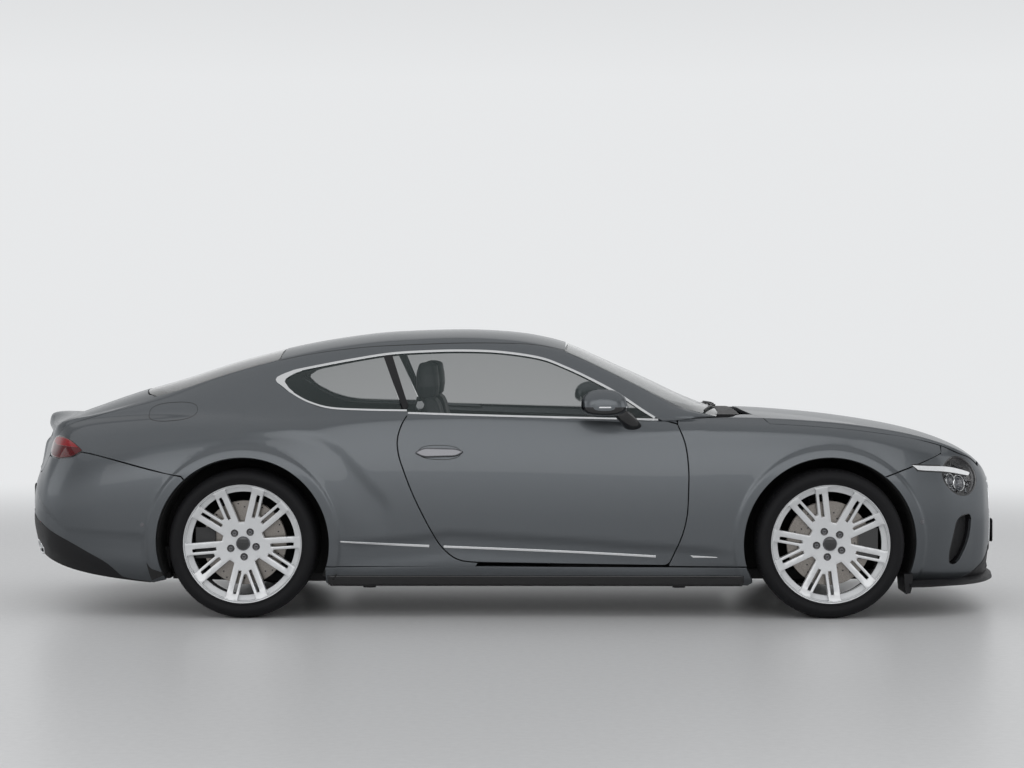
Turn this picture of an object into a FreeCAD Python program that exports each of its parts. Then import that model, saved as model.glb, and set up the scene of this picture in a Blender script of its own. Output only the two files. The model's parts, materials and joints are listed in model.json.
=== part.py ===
"""Two-door grand-touring coupe: +X forward, +Y left, +Z up, millimetres, origin on the floor at mid length."""
import FreeCAD
import Part
import math
import os

V = FreeCAD.Vector
doc = FreeCAD.newDocument("coupe")

# ---------------------------------------------------------------- driving sizes
SIZES = (
    ("front_axle_x", 1545.0), ("wheelbase", 2851.0), ("wheel_radius", 362.0),
    ("front_tyre_width", 268.0), ("rear_tyre_width", 300.0), ("front_track", 1656.0), ("rear_track", 1640.0),
    ("rim_radius", 287.0), ("rim_wall", 10.0), ("hub_radius", 92.0), ("hub_bore", 30.0),
    ("spoke_count", 10.0), ("spoke_depth", 34.0), ("spoke_set_back", 26.0), ("spoke_root", 60.0),
    ("rim_set_in", 14.0), ("hub_bore_depth", 60.0), ("disc_near", 10.0), ("stub_reach", 55.0),
    ("tyre_corner", 38.0), ("disc_radius", 205.0), ("disc_thickness", 34.0),
    ("arch_radius", 420.0), ("liner_thickness", 5.0), ("front_house_inner", 498.0),
    ("rear_house_inner", 630.0),
    ("floor_thickness", 50.0), ("floor_under", 150.0), ("cabin_half", 832.0), ("rear_cabin_half", 590.0),
    ("cabin_front_x", 950.0), ("cabin_rear_x", -1180.0), ("rear_cabin_x", -640.0), ("firewall_thickness", 40.0),
    ("skin", 12.0), ("glass", 6.0), ("roof_thickness", 26.0), ("pillar_depth", 42.0), ("lid_skin", 14.0),
    ("door_skin", 8.0), ("door_box_inset", 30.0), ("shut_gap", 8.0), ("glass_gap", 10.0),
    ("hinge_behind_edge", 100.0), ("hinge_inboard", 24.0), ("hinge_pin", 6.0), ("hinge_clearance", 0.05),
    ("hinge_upper_z", 700.0), ("hinge_lower_z", 400.0), ("hinge_strap", 12.0), ("hinge_wall", 8.0),
    ("strap_gap", 6.0), ("door_inner_half", 836.0),
    ("bonnet_rear_x", 1163.0), ("bonnet_axis_z", 968.0), ("cowl_gap", 36.0), ("lid_gap", 7.0),
    ("bonnet_pin", 6.0), ("bonnet_hinge_y", 600.0), ("boot_axis_x", -1640.0), ("boot_axis_z", 1000.0),
    ("boot_arm_y", 470.0), ("boot_arm_thickness", 12.0), ("boot_arm_width", 22.0), ("boot_pin", 7.0),
    ("king_pin_inset", 30.0), ("king_pin", 14.0), ("axle_tube", 32.0),
    ("steering_wheel_radius", 182.0), ("steering_rim", 15.0), ("steering_x", 330.0), ("steering_y", -375.0),
    ("steering_z", 815.0), ("steering_rake", 22.0), ("column_radius", 22.0),
    ("engine_length", 470.0), ("engine_width", 560.0), ("engine_height", 520.0), ("engine_x", 1005.0),
    ("engine_z", 230.0), ("plate_width", 520.0), ("plate_height", 112.0), ("plate_thickness", 8.0),
    ("seat_y", 375.0), ("seat_width", 510.0), ("bench_half", 550.0), ("console_half", 112.0),
    ("dash_half", 790.0), ("tunnel_half", 110.0), ("tunnel_z", 330.0), ("heel_rise", 130.0), ("bulkhead", 40.0),
    ("rail_y", 430.0), ("rail_half", 40.0), ("boot_floor_z", 380.0), ("boot_floor", 50.0), ("boot_half", 540.0),
    ("shelf_z", 915.0), ("shelf", 15.0), ("lid_low_z", 690.0), ("pad_front_x", 820.0), ("pad_rear_x", -700.0),
    ("pad_y", 780.0), ("bumper_skin", 16.0), ("bumper_depth", 30.0), ("grille_skin", 12.0),
    ("grille_pitch", 56.0), ("grille_bar", 12.0), ("headlamp_radius", 95.0), ("tail_lamp_half", 118.0),
    ("tail_lamp_tall", 52.0), ("handle_proud", 16.0), ("tip_wide", 75.0), ("tip_tall", 32.0), ("tip_wall", 8.0),
    ("tip_length", 151.0), ("tip_x", -2402.0), ("tip_y", 600.0), ("tip_z", 318.0), ("calliper_height", 75.0),
    ("jack_pad_radius", 32.0), ("jack_pad_height", 14.0), ("taper_x", 2000.0), ("spoiler_rise", 20.0),
)
sheet = doc.addObject("Spreadsheet::Sheet", "sizes")
for row, (alias, value) in enumerate(SIZES, start=1):
    sheet.set("A%d" % row, alias)
    sheet.set("B%d" % row, repr(value))
    sheet.setAlias("B%d" % row, alias)
doc.recompute()


def size(alias):
    return float(sheet.get(alias))


# ---------------------------------------------------------------- body lines
# Lower body: x, underside z, sill half width, widest half width and its z, shoulder half width and z,
# deck edge half width and z, centre line z.
LOWER = (
    (2440.0, 176.0, 180.0, 210.0, 420.0, 190.0, 570.0, 160.0, 610.0, 650.0),
    (2415.0, 170.0, 330.0, 370.0, 430.0, 340.0, 600.0, 280.0, 645.0, 698.0),
    (2380.0, 164.0, 470.0, 520.0, 450.0, 480.0, 640.0, 400.0, 690.0, 735.0),
    (2330.0, 160.0, 610.0, 665.0, 470.0, 610.0, 685.0, 530.0, 735.0, 775.0),
    (2230.0, 156.0, 745.0, 800.0, 500.0, 755.0, 745.0, 680.0, 797.0, 830.0),
    (2080.0, 152.0, 840.0, 890.0, 530.0, 850.0, 805.0, 770.0, 855.0, 883.0),
    (1880.0, 150.0, 890.0, 935.0, 560.0, 885.0, 865.0, 800.0, 905.0, 926.0),
    (1545.0, 150.0, 915.0, 957.0, 600.0, 900.0, 912.0, 810.0, 950.0, 971.0),
    (1163.0, 150.0, 925.0, 955.0, 600.0, 900.0, 930.0, 810.0, 970.0, 998.0),
    (700.0, 150.0, 925.0, 950.0, 600.0, 890.0, 950.0, 800.0, 975.0, 1004.0),
    (-100.0, 150.0, 925.0, 948.0, 600.0, 892.0, 972.0, 800.0, 992.0, 1010.0),
    (-700.0, 150.0, 930.0, 956.0, 600.0, 902.0, 960.0, 800.0, 990.0, 1010.0),
    (-1050.0, 150.0, 935.0, 972.0, 620.0, 915.0, 938.0, 810.0, 985.0, 1008.0),
    (-1306.0, 152.0, 938.0, 983.0, 640.0, 918.0, 942.0, 815.0, 985.0, 1005.0),
    (-1700.0, 162.0, 925.0, 972.0, 640.0, 890.0, 934.0, 790.0, 975.0, 1000.0),
    (-1980.0, 190.0, 895.0, 940.0, 630.0, 840.0, 900.0, 735.0, 955.0, 990.0),
    (-2180.0, 230.0, 850.0, 892.0, 610.0, 785.0, 865.0, 680.0, 925.0, 978.0),
    (-2270.0, 262.0, 795.0, 843.0, 595.0, 700.0, 805.0, 575.0, 890.0, 970.0),
    (-2330.0, 285.0, 690.0, 740.0, 590.0, 500.0, 775.0, 370.0, 885.0, 962.0),
    (-2390.0, 320.0, 520.0, 570.0, 575.0, 290.0, 740.0, 200.0, 860.0, 948.0),
    (-2412.0, 335.0, 410.0, 450.0, 570.0, 190.0, 720.0, 130.0, 840.0, 936.0),
    (-2447.0, 380.0, 250.0, 300.0, 560.0, 160.0, 665.0, 110.0, 700.0, 715.0),
)
SILL_CHAMFER = 60.0

# Greenhouse: x, belt half width and z, roof rail half width and z, centre line z.
UPPER = (
    (1040.0, 800.0, 950.0, 770.0, 978.0, 999.0),
    (850.0, 830.0, 950.0, 772.0, 1005.0, 1076.0),
    (700.0, 850.0, 955.0, 742.0, 1082.0, 1149.0),
    (550.0, 862.0, 955.0, 700.0, 1158.0, 1216.0),
    (400.0, 868.0, 958.0, 656.0, 1230.0, 1284.0),
    (250.0, 873.0, 962.0, 618.0, 1296.0, 1346.0),
    (0.0, 880.0, 970.0, 592.0, 1342.0, 1392.0),
    (-250.0, 884.0, 980.0, 582.0, 1355.0, 1404.0),
    (-600.0, 882.0, 985.0, 578.0, 1340.0, 1393.0),
    (-900.0, 868.0, 985.0, 570.0, 1303.0, 1358.0),
    (-1170.0, 835.0, 980.0, 560.0, 1246.0, 1306.0),
    (-1450.0, 780.0, 975.0, 548.0, 1168.0, 1233.0),
    (-1700.0, 720.0, 970.0, 535.0, 1085.0, 1151.0),
    (-1900.0, 660.0, 960.0, 525.0, 1030.0, 1094.0),
    (-2060.0, 610.0, 945.0, 515.0, 985.0, 1041.0),
    (-2220.0, 570.0, 930.0, 505.0, 945.0, 982.0),
)
UPPER_FOOT_Z = 860.0
LID_ZONE_LOW = 600.0
LID_ZONE_HIGH = 1300.0
SIDE_GLASS_BULGE = 16.0


def lower_section(row, side_in, top_in, bottom_in):
    x, under, sill, wide, wide_z, shoulder, shoulder_z, deck, deck_z, top = row
    sill -= side_in
    wide -= side_in
    shoulder -= side_in
    deck -= side_in * 0.5
    shoulder_z -= top_in * 0.5
    deck_z -= top_in
    top -= top_in
    under += bottom_in
    corner = V(x, sill - SILL_CHAMFER, under)
    sill_edge = V(x, sill, under + SILL_CHAMFER)
    shoulder_edge = V(x, shoulder, shoulder_z)
    deck_edge = V(x, deck, deck_z)
    edges = [
        Part.makeLine(V(x, -corner.y, under), corner),
        Part.makeLine(corner, sill_edge),
        Part.Arc(sill_edge, V(x, wide, wide_z), shoulder_edge).toShape(),
        Part.makeLine(shoulder_edge, deck_edge),
        Part.Arc(deck_edge, V(x, 0, top), V(x, -deck, deck_z)).toShape(),
        Part.makeLine(V(x, -deck, deck_z), V(x, -shoulder, shoulder_z)),
        Part.Arc(V(x, -shoulder, shoulder_z), V(x, -wide, wide_z), V(x, -sill, sill_edge.z)).toShape(),
        Part.makeLine(V(x, -sill, sill_edge.z), V(x, -corner.y, under)),
    ]
    return Part.Wire(edges)


def upper_section(row, inset, foot_z):
    x, belt, belt_z, rail, rail_z, top = row
    belt -= inset
    rail -= inset * 0.7
    rail_z -= inset * 0.7
    top -= inset
    middle = V(x, (belt + rail) / 2 + SIDE_GLASS_BULGE, (belt_z + rail_z) / 2 + SIDE_GLASS_BULGE / 2)
    edges = [
        Part.makeLine(V(x, -belt, foot_z), V(x, belt, foot_z)),
        Part.makeLine(V(x, belt, foot_z), V(x, belt, belt_z)),
        Part.Arc(V(x, belt, belt_z), middle, V(x, rail, rail_z)).toShape(),
        Part.Arc(V(x, rail, rail_z), V(x, 0, top), V(x, -rail, rail_z)).toShape(),
        Part.Arc(V(x, -rail, rail_z), V(x, -middle.y, middle.z), V(x, -belt, belt_z)).toShape(),
        Part.makeLine(V(x, -belt, belt_z), V(x, -belt, foot_z)),
    ]
    return Part.Wire(edges)


def loft(wires):
    return Part.makeLoft(wires, True, True)


def lower_body(side_in=0.0, top_in=0.0, bottom_in=0.0, end_in=0.0):
    # The ends are drawn in by a share that grows from nothing at the taper to end_in at the last section.
    rows = [list(row) for row in LOWER]
    for row in rows:
        limit = LOWER[0][0] if row[0] > 0 else -LOWER[-1][0]
        share = max(0.0, (abs(row[0]) - size("taper_x")) / (limit - size("taper_x")))
        row[0] -= math.copysign(end_in * share, row[0])
    return loft([lower_section(row, side_in, top_in, bottom_in) for row in rows])


def upper_body(inset=0.0, foot_z=UPPER_FOOT_Z):
    return loft([upper_section(row, inset, foot_z) for row in UPPER])


def side_prism(points, y_low, y_high):
    """Prism along Y over an outline of (x, z) points."""
    ring = [V(x, y_low, z) for x, z in points]
    return Part.Face(Part.makePolygon(ring + ring[:1])).extrude(V(0, y_high - y_low, 0))


def plan_prism(points, z_low, z_high):
    """Prism along Z over an outline of (x, y) points."""
    ring = [V(x, y, z_low) for x, y in points]
    return Part.Face(Part.makePolygon(ring + ring[:1])).extrude(V(0, 0, z_high - z_low))


def front_prism(points, x_low, x_high):
    """Prism along X over an outline of (y, z) points."""
    ring = [V(x_low, y, z) for y, z in points]
    return Part.Face(Part.makePolygon(ring + ring[:1])).extrude(V(x_high - x_low, 0, 0))


def grown(points, distance):
    """Outline of (a, b) points moved outward by a distance, corners kept sharp."""
    area = sum(a[0] * b[1] - b[0] * a[1] for a, b in zip(points, points[1:] + points[:1]))
    turn = 1.0 if area > 0 else -1.0
    result = []
    for before, here, after in zip(points[-1:] + points[:-1], points, points[1:] + points[:1]):
        normals = []
        for start, end in ((before, here), (here, after)):
            length = math.hypot(end[0] - start[0], end[1] - start[1])
            normals.append((turn * (end[1] - start[1]) / length, -turn * (end[0] - start[0]) / length))
        (ax, ay), (bx, by) = normals
        scale = distance / (1 + ax * bx + ay * by)
        result.append((here[0] + (ax + bx) * scale, here[1] + (ay + by) * scale))
    return result


def box(x_low, x_high, y_low, y_high, z_low, z_high):
    return Part.makeBox(x_high - x_low, y_high - y_low, z_high - z_low, V(x_low, y_low, z_low))


def cylinder_y(radius, x, z, y_low, y_high):
    return Part.makeCylinder(radius, y_high - y_low, V(x, y_low, z), V(0, 1, 0))


def mirror_y(shape):
    return shape.mirror(V(0, 0, 0), V(0, 1, 0))


def biggest(shape):
    return max(shape.Solids, key=lambda solid: solid.Volume)


def solids_over(shape, volume):
    return Part.makeCompound([solid for solid in shape.Solids if solid.Volume > volume])


REAL_PIECE = 2000.0
NODES = []


def keep(label, shape, single=True):
    """Puts a finished shape into the document as a sub-part."""
    shape = biggest(shape) if single else solids_over(shape, REAL_PIECE)
    feature = doc.addObject("Part::Feature", label)
    feature.Label = label
    feature.Shape = shape
    NODES.append(feature)
    return feature


# ---------------------------------------------------------------- places worked out from the sizes
front_x = size("front_axle_x")
rear_x = front_x - size("wheelbase")
wheel_z = size("wheel_radius")
gap = size("shut_gap")
far = 1300.0
nose_x = LOWER[0][0]
tail_x = LOWER[-1][0]

outer_lower = lower_body()
outer_upper = upper_body()
outer = outer_lower.fuse(outer_upper)
skin_inner = lower_body(size("skin"), size("skin"), size("skin"), size("skin"))
door_inner = lower_body(size("door_skin"), size("door_skin"), 0.0, 0.0)
pillar_inner = upper_body(size("pillar_depth"), UPPER_FOOT_Z - 200.0)
glass_shell = outer_upper.cut(upper_body(size("glass"), UPPER_FOOT_Z - 100.0))
roof_inner = upper_body(size("roof_thickness"), UPPER_FOOT_Z - 100.0)

# Door outline seen from the side, clockwise from its upper front corner.
DOOR = [(741.0, 957.0), (801.0, 937.0), (840.0, 850.0), (856.0, 724.0), (848.0, 455.0), (761.0, 258.0),
        (-168.0, 273.0), (-264.0, 282.0), (-342.0, 345.0), (-405.0, 455.0), (-484.0, 613.0),
        (-547.0, 787.0), (-555.0, 866.0), (-505.0, 997.0), (-252.0, 985.0), (138.0, 974.0)]
# Door glass and rear quarter glass, above the belt.
DOOR_GLASS = [(712.0, 962.0), (638.0, 1008.0), (515.0, 1086.0), (390.0, 1152.0), (265.0, 1209.0),
              (138.0, 1255.0), (-60.0, 1283.0), (-258.0, 1292.0), (-450.0, 1286.0), (-606.0, 1270.0),
              (-487.0, 1004.0), (-252.0, 986.0), (138.0, 975.0)]
QUARTER_GLASS = [(-530.0, 1006.0), (-648.0, 1266.0), (-806.0, 1240.0), (-1075.0, 1186.0), (-1140.0, 1152.0),
                 (-1095.0, 1104.0), (-982.0, 1046.0), (-880.0, 1020.0)]
# Glass seen from above, right half: x and half width.
WINDSCREEN_EDGE = [(1034.0, 745.0), (850.0, 745.0), (700.0, 718.0), (550.0, 678.0), (400.0, 635.0), (262.0, 598.0)]
ROOF_EDGE = [(262.0, 598.0), (0.0, 570.0), (-250.0, 560.0), (-600.0, 556.0), (-900.0, 548.0), (-1160.0, 538.0)]
REAR_WINDOW_EDGE = [(-1160.0, 538.0), (-1450.0, 526.0), (-1700.0, 513.0), (-1788.0, 496.0), (-1838.0, 378.0),
                    (-1882.0, 118.0)]
BONNET_EDGE = [(1253.0, 862.0), (1611.0, 868.0), (1798.0, 852.0), (1997.0, 815.0), (2187.0, 732.0), (2305.0, 598.0)]
BOOT_EDGE = [(-1895.0, 120.0), (-1850.0, 380.0), (-1800.0, 500.0), (-1900.0, 548.0), (-2045.0, 585.0),
             (-2330.0, 585.0)]


def symmetric(edge):
    return edge + [(x, -y) for x, y in reversed(edge)]


# ---------------------------------------------------------------- wheelhouses and cabin space
def wheelhouse(x, inner_half, radius, side):
    y_low, y_high = (inner_half, far) if side > 0 else (-far, -inner_half)
    return cylinder_y(radius, x, wheel_z, y_low, y_high).fuse(
        box(x - radius, x + radius, y_low, y_high, -100.0, wheel_z))


houses = {}
for side in (1, -1):
    houses["front", side] = wheelhouse(front_x, size("front_house_inner"), size("arch_radius"), side)
    houses["rear", side] = wheelhouse(rear_x, size("rear_house_inner"), size("arch_radius"), side)
all_houses = houses["front", 1].multiFuse([houses["front", -1], houses["rear", 1], houses["rear", -1]])

floor_top = size("floor_under") + size("floor_thickness")
cabin_low = box(size("rear_cabin_x"), size("cabin_front_x"), -size("cabin_half"), size("cabin_half"),
                floor_top, 1000.0)
cabin_back = box(size("cabin_rear_x"), size("rear_cabin_x") + 1, -size("rear_cabin_half"),
                 size("rear_cabin_half"), floor_top + size("heel_rise"), 1000.0)
boot_space = box(BOOT_EDGE[-1][0], -1420.0, -size("boot_half"), size("boot_half"),
                 size("boot_floor_z") + size("boot_floor"), 940.0)
upper_space = pillar_inner.common(box(-1830.0, size("cabin_front_x"), -far, far, 700.0, 1500.0))
cabin = cabin_low.fuse(cabin_back).fuse(upper_space)

bonnet_outline = symmetric([(size("bonnet_rear_x"), 300.0)] + BONNET_EDGE + [(2348.0, 330.0)])
bonnet_zone = plan_prism(bonnet_outline, LID_ZONE_LOW, LID_ZONE_HIGH)
bonnet_opening = plan_prism(grown(bonnet_outline, size("lid_gap")), LID_ZONE_LOW, LID_ZONE_HIGH)
glass_zone = plan_prism(symmetric(WINDSCREEN_EDGE + ROOF_EDGE[1:] + REAR_WINDOW_EDGE[1:]), 940.0, 1500.0)

# ---------------------------------------------------------------- static shell
floor = outer_lower.common(box(-1690.0, 1900.0, -far, far, 0.0, floor_top))
firewall = box(size("cabin_front_x"), size("cabin_front_x") + size("firewall_thickness"), -800.0, 800.0,
               floor_top - 1, 900.0).common(skin_inner)
shelf_top = size("shelf_z") + size("shelf")
floor_half = size("boot_half") + 20.0
shelf = box(-1600.0, size("cabin_rear_x"), -470.0, 470.0, size("shelf_z"), shelf_top)
tunnel = box(-1100.0, size("cabin_front_x"), -size("tunnel_half"), size("tunnel_half"), floor_top - 1, size("tunnel_z"))
heel = box(size("cabin_rear_x"), size("rear_cabin_x"), -floor_half, floor_half, floor_top - 1,
           floor_top + size("heel_rise"))
rear_bulkhead = box(size("cabin_rear_x") - size("bulkhead"), size("cabin_rear_x"), -floor_half, floor_half,
                    floor_top - 1, shelf_top)
boot_floor = box(-2200.0, size("cabin_rear_x") - size("bulkhead") + 20.0, -floor_half, floor_half,
                 size("boot_floor_z"), size("boot_floor_z") + size("boot_floor"))
rails = [box(1000.0, 2200.0, side * size("rail_y") - size("rail_half"), side * size("rail_y") + size("rail_half"),
             floor_top - 40.0, 320.0) for side in (1, -1)]
brackets = []
for side in (1, -1):
    inner = size("boot_arm_y") - size("boot_arm_thickness") / 2 - 14.0
    plate = side_prism([(-1560.0, 920.0), (-1560.0, 990.0), (-1630.0, 1014.0), (-1655.0, 1014.0), (-1655.0, 985.0),
                        (-1600.0, 920.0)], inner, inner + 8.0)
    pin = cylinder_y(size("boot_pin"), size("boot_axis_x"), size("boot_axis_z"), inner,
                     size("boot_arm_y") + size("boot_arm_thickness") / 2)
    brackets.append(plate.fuse(pin) if side > 0 else mirror_y(plate.fuse(pin)))
underbody = floor.multiFuse([firewall, tunnel, heel, rear_bulkhead, boot_floor, shelf] + rails + brackets)
bay_half = size("rail_y") - size("rail_half")
engine_bay = box(1000.0, 1890.0, -bay_half, bay_half, floor_top - 20.0, 1000.0)
underbody = underbody.cut(all_houses).cut(engine_bay)
pads = []
for x in (size("pad_rear_x"), size("pad_front_x")):
    for side in (1, -1):
        pads.append(Part.makeCylinder(size("jack_pad_radius"), size("jack_pad_height") + 5.0,
                                      V(x, side * size("pad_y"), size("floor_under") - size("jack_pad_height"))))
underbody = underbody.multiFuse(pads)
underbody = biggest(underbody.removeSplitter())
keep("underbody", underbody)

door_hole = {}
for side in (1, -1):
    y_low, y_high = (300.0, far) if side > 0 else (-far, -300.0)
    door_hole[side] = side_prism(grown(DOOR, gap), y_low, y_high).fuse(
        side_prism(grown(DOOR_GLASS, size("glass_gap")), y_low, y_high))


def half(side, inner=0.0):
    return box(-3000.0, 3000.0, inner, far, -100.0, 2000.0) if side > 0 else \
        box(-3000.0, 3000.0, -far, -inner, -100.0, 2000.0)


POST_FRONT_X = 1000.0
# Region of the side body seen from the side: sill, posts, quarter and greenhouse sides.
SIDE_ZONE = [(1120.0, 140.0), (1120.0, 250.0), (990.0, 250.0), (990.0, 1500.0), (-2600.0, 1500.0),
             (-2600.0, 770.0), (-2200.0, 770.0), (-2077.0, 803.0), (-1610.0, 691.0), (-1610.0, 140.0)]
hinge_x = DOOR[3][0] - size("hinge_behind_edge")
hinge_y = 948.0 - size("hinge_inboard")
arm_y = size("door_inner_half") - size("strap_gap")
boot_opening = plan_prism(grown(symmetric(BOOT_EDGE + [(-2600.0, 585.0)]), size("lid_gap")),
                          size("lid_low_z") - size("lid_gap"), 1300.0)
axle_space = box(rear_x - 80.0, rear_x + 80.0, -size("rear_house_inner"), size("rear_house_inner"), 280.0, 400.0)

for side, name in ((1, "left"), (-1, "right")):
    shell = outer.common(side_prism(SIDE_ZONE, *sorted((side * 500.0, side * far))))
    shell = shell.cut(cabin).cut(boot_space).cut(houses["front", side]).cut(houses["rear", side])
    shell = shell.cut(door_hole[side]).cut(glass_zone).cut(boot_opening).cut(underbody).cut(axle_space)
    shell = shell.cut(side_prism(QUARTER_GLASS, -far, far))
    shell = shell.cut(box(-3000.0, 3000.0, -far, far, 0.0, floor_top).common(half(side, 0.0)).common(
        box(-1690.0, 1900.0, -far, far, 0.0, floor_top)))
    keep("body_side_" + name, shell)

    # Each hinge is a strap from the inside of the hinge post to an upright pin.
    straps = []
    for z in (size("hinge_upper_z"), size("hinge_lower_z")):
        low = z - size("hinge_strap") / 2
        high = z + size("hinge_strap") / 2
        inboard = arm_y - size("hinge_strap")
        straps.append(box(hinge_x - 8.0, POST_FRONT_X - 20.0, inboard, arm_y, low, high))
        straps.append(box(hinge_x - 8.0, hinge_x + 8.0, inboard, hinge_y, low, high))
        straps.append(Part.makeCylinder(size("hinge_pin"), 52.0, V(hinge_x, hinge_y, z - 26.0)))
    straps = straps[0].multiFuse(straps[1:])
    NODES[-1].Shape = biggest(NODES[-1].Shape.fuse(straps if side > 0 else mirror_y(straps)))

# ---------------------------------------------------------------- roof and fixed glass
roof_zone = plan_prism(symmetric(ROOF_EDGE), 940.0, 1500.0)
keep("roof_panel", outer_upper.common(roof_zone).cut(roof_inner))
keep("windscreen", glass_shell.common(plan_prism(symmetric(WINDSCREEN_EDGE), 990.0, 1500.0)))
rear_glass_zone = plan_prism(symmetric([ROOF_EDGE[-1]] + REAR_WINDOW_EDGE[1:]), 940.0, 1500.0)
keep("rear_window", glass_shell.common(rear_glass_zone))
quarter = glass_shell.common(side_prism(QUARTER_GLASS, -far, far))
keep("quarter_glass", quarter, single=False)

# ---------------------------------------------------------------- front wings, cowl, bonnet
WING_ZONE = [(990.0, 250.0), (1120.0, 250.0), (1200.0, 250.0), (1807.0, 689.0), (1956.0, 741.0), (2100.0, 800.0),
             (2360.0, 800.0), (2360.0, 1100.0), (745.0, 1100.0), (745.0, 700.0), (600.0, 250.0)]
wing_region = side_prism(WING_ZONE, -far, far).cut(bonnet_opening)
wing_region = wing_region.cut(side_prism(grown(DOOR, gap), -far, far))
wing_region = wing_region.cut(side_prism([(400.0, 1500.0), (738.0, 960.0), (990.0, 960.0), (990.0, 1500.0)], -far, far))
for side, name in ((1, "left"), (-1, "right")):
    wing = outer_lower.common(wing_region.common(half(side, 640.0))).cut(skin_inner).cut(houses["front", side])
    wing = wing.cut(next(n.Shape for n in NODES if n.Label == "body_side_" + name))
    keep("front_wing_" + name, wing)

cowl = outer_lower.common(box(size("cabin_front_x") + 2.0, size("bonnet_rear_x") - size("cowl_gap"), -640.0, 640.0,
                              900.0, 1100.0))
lugs = []
for side in (1, -1):
    pin_inner = size("bonnet_hinge_y") - 22.0
    ear = box(1100.0, size("bonnet_rear_x") + 10.0, pin_inner, pin_inner + 10.0, size("bonnet_axis_z") - 10.0,
              size("bonnet_axis_z") + 10.0)
    pin = cylinder_y(size("bonnet_pin"), size("bonnet_rear_x"), size("bonnet_axis_z"), pin_inner,
                     size("bonnet_hinge_y") + 8.0)
    ear = ear.fuse(pin)
    lugs.append(ear if side > 0 else mirror_y(ear))
cowl = cowl.multiFuse(lugs)
for node in list(NODES):
    if node.Label in ("windscreen", "body_side_left", "body_side_right", "underbody"):
        cowl = cowl.cut(node.Shape)
keep("cowl_panel", cowl)
hinge_arms = []
for side in (1, -1):
    low = size("bonnet_hinge_y") - 8.0
    arm = box(size("bonnet_rear_x"), size("bonnet_rear_x") + 110.0, low, low + 16.0, size("bonnet_axis_z") - 11.0,
              size("bonnet_axis_z") + 4.0)
    arm = arm.fuse(cylinder_y(11.0, size("bonnet_rear_x"), size("bonnet_axis_z"), low, low + 16.0))
    arm = arm.cut(cylinder_y(size("bonnet_pin") + size("hinge_clearance"), size("bonnet_rear_x"),
                             size("bonnet_axis_z"), low - 1, low + 17.0))
    hinge_arms.append(arm if side > 0 else mirror_y(arm))
bonnet = outer_lower.common(bonnet_zone).cut(lower_body(0.0, size("lid_skin"), 0.0, size("lid_skin")))
keep("bonnet", bonnet.multiFuse(hinge_arms))

# ---------------------------------------------------------------- boot lid with its tail edge and goosenecks
lid_zone = plan_prism(symmetric(BOOT_EDGE + [(-2600.0, 585.0)]), size("lid_low_z"), 1300.0)
tail_zone = box(-2700.0, -1700.0, -far, far, 0.0, 1300.0)
lid_inner = lower_body(size("lid_skin"), size("lid_skin"), 0.0, size("lid_skin")).common(tail_zone).fuse(
    upper_body(size("lid_skin")).common(tail_zone))
lid = outer.common(lid_zone).cut(lid_inner)
lid = lid.cut(box(-2330.0, -1500.0, -far, far, 600.0, 880.0))
bevel = side_prism([(-1700.0, 1000.0), (-1700.0, 1200.0), (-1780.0, 1200.0), (-1815.0, 1000.0)], -far, far)
necks = []
NECK = [(size("boot_axis_x"), size("boot_axis_z")), (-1660.0, 900.0), (-1745.0, 835.0), (-1845.0, 850.0),
        (-1890.0, 950.0), (-1892.0, 1046.0)]
half_width = size("boot_arm_width") / 2
for side in (1, -1):
    low = size("boot_arm_y") - size("boot_arm_thickness") / 2
    high = low + size("boot_arm_thickness")
    pieces = [cylinder_y(half_width + 3.0, size("boot_axis_x"), size("boot_axis_z"), low, high)]
    for (ax, az), (bx, bz) in zip(NECK, NECK[1:]):
        length = math.hypot(bx - ax, bz - az)
        nx = -(bz - az) / length * half_width
        nz = (bx - ax) / length * half_width
        pieces.append(side_prism([(ax + nx, az + nz), (bx + nx, bz + nz), (bx - nx, bz - nz), (ax - nx, az - nz)],
                                 low, high))
        if (bx, bz) != NECK[-1]:
            pieces.append(cylinder_y(half_width, bx, bz, low, high))
    neck = pieces[0].multiFuse(pieces[1:])
    neck = neck.cut(cylinder_y(size("boot_pin") + size("hinge_clearance"), size("boot_axis_x"),
                               size("boot_axis_z"), low - 1, high + 1))
    necks.append(neck if side > 0 else mirror_y(neck))
# Tail lip in plan, from the centre line outward: its front edge and then its rear edge.
SPOILER = [(-2340.0, 0.0), (-2325.0, 200.0), (-2285.0, 380.0), (-2215.0, 560.0), (-2285.0, 560.0),
           (-2345.0, 380.0), (-2392.0, 200.0), (-2412.0, 0.0)]
spoiler = plan_prism(SPOILER, 880.0, 1100.0)
spoiler = spoiler.fuse(mirror_y(spoiler)).common(lower_body(0.0, -size("spoiler_rise"))).cut(lid_inner)
keep("boot_lid", lid.multiFuse(necks + [spoiler]))

# ---------------------------------------------------------------- bumpers
FRONT_BUMPER_ZONE = [(1600.0, 140.0), (1690.0, 400.0), (1807.0, 689.0), (1956.0, 741.0), (2100.0, 800.0),
                     (2700.0, 800.0), (2700.0, 140.0)]
REAR_BUMPER_ZONE = [(-1610.0, 140.0), (-1610.0, 691.0), (-2077.0, 803.0), (-2200.0, 770.0), (-2600.0, 770.0),
                    (-2600.0, 140.0)]
bumper_inner = lower_body(size("bumper_skin"), size("bumper_skin"), size("bumper_skin"), size("bumper_depth"))
grille_hole = front_prism([(-400.0, 330.0), (-430.0, 640.0), (430.0, 640.0), (400.0, 330.0)], 2200.0, 2600.0)
low_hole = box(2200.0, 2600.0, -470.0, 470.0, 200.0, 290.0)
side_holes = [box(2120.0, 2600.0, side * 655.0 - 85.0, side * 655.0 + 85.0, 250.0, 495.0) for side in (1, -1)]
lamp_tubes = []
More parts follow.
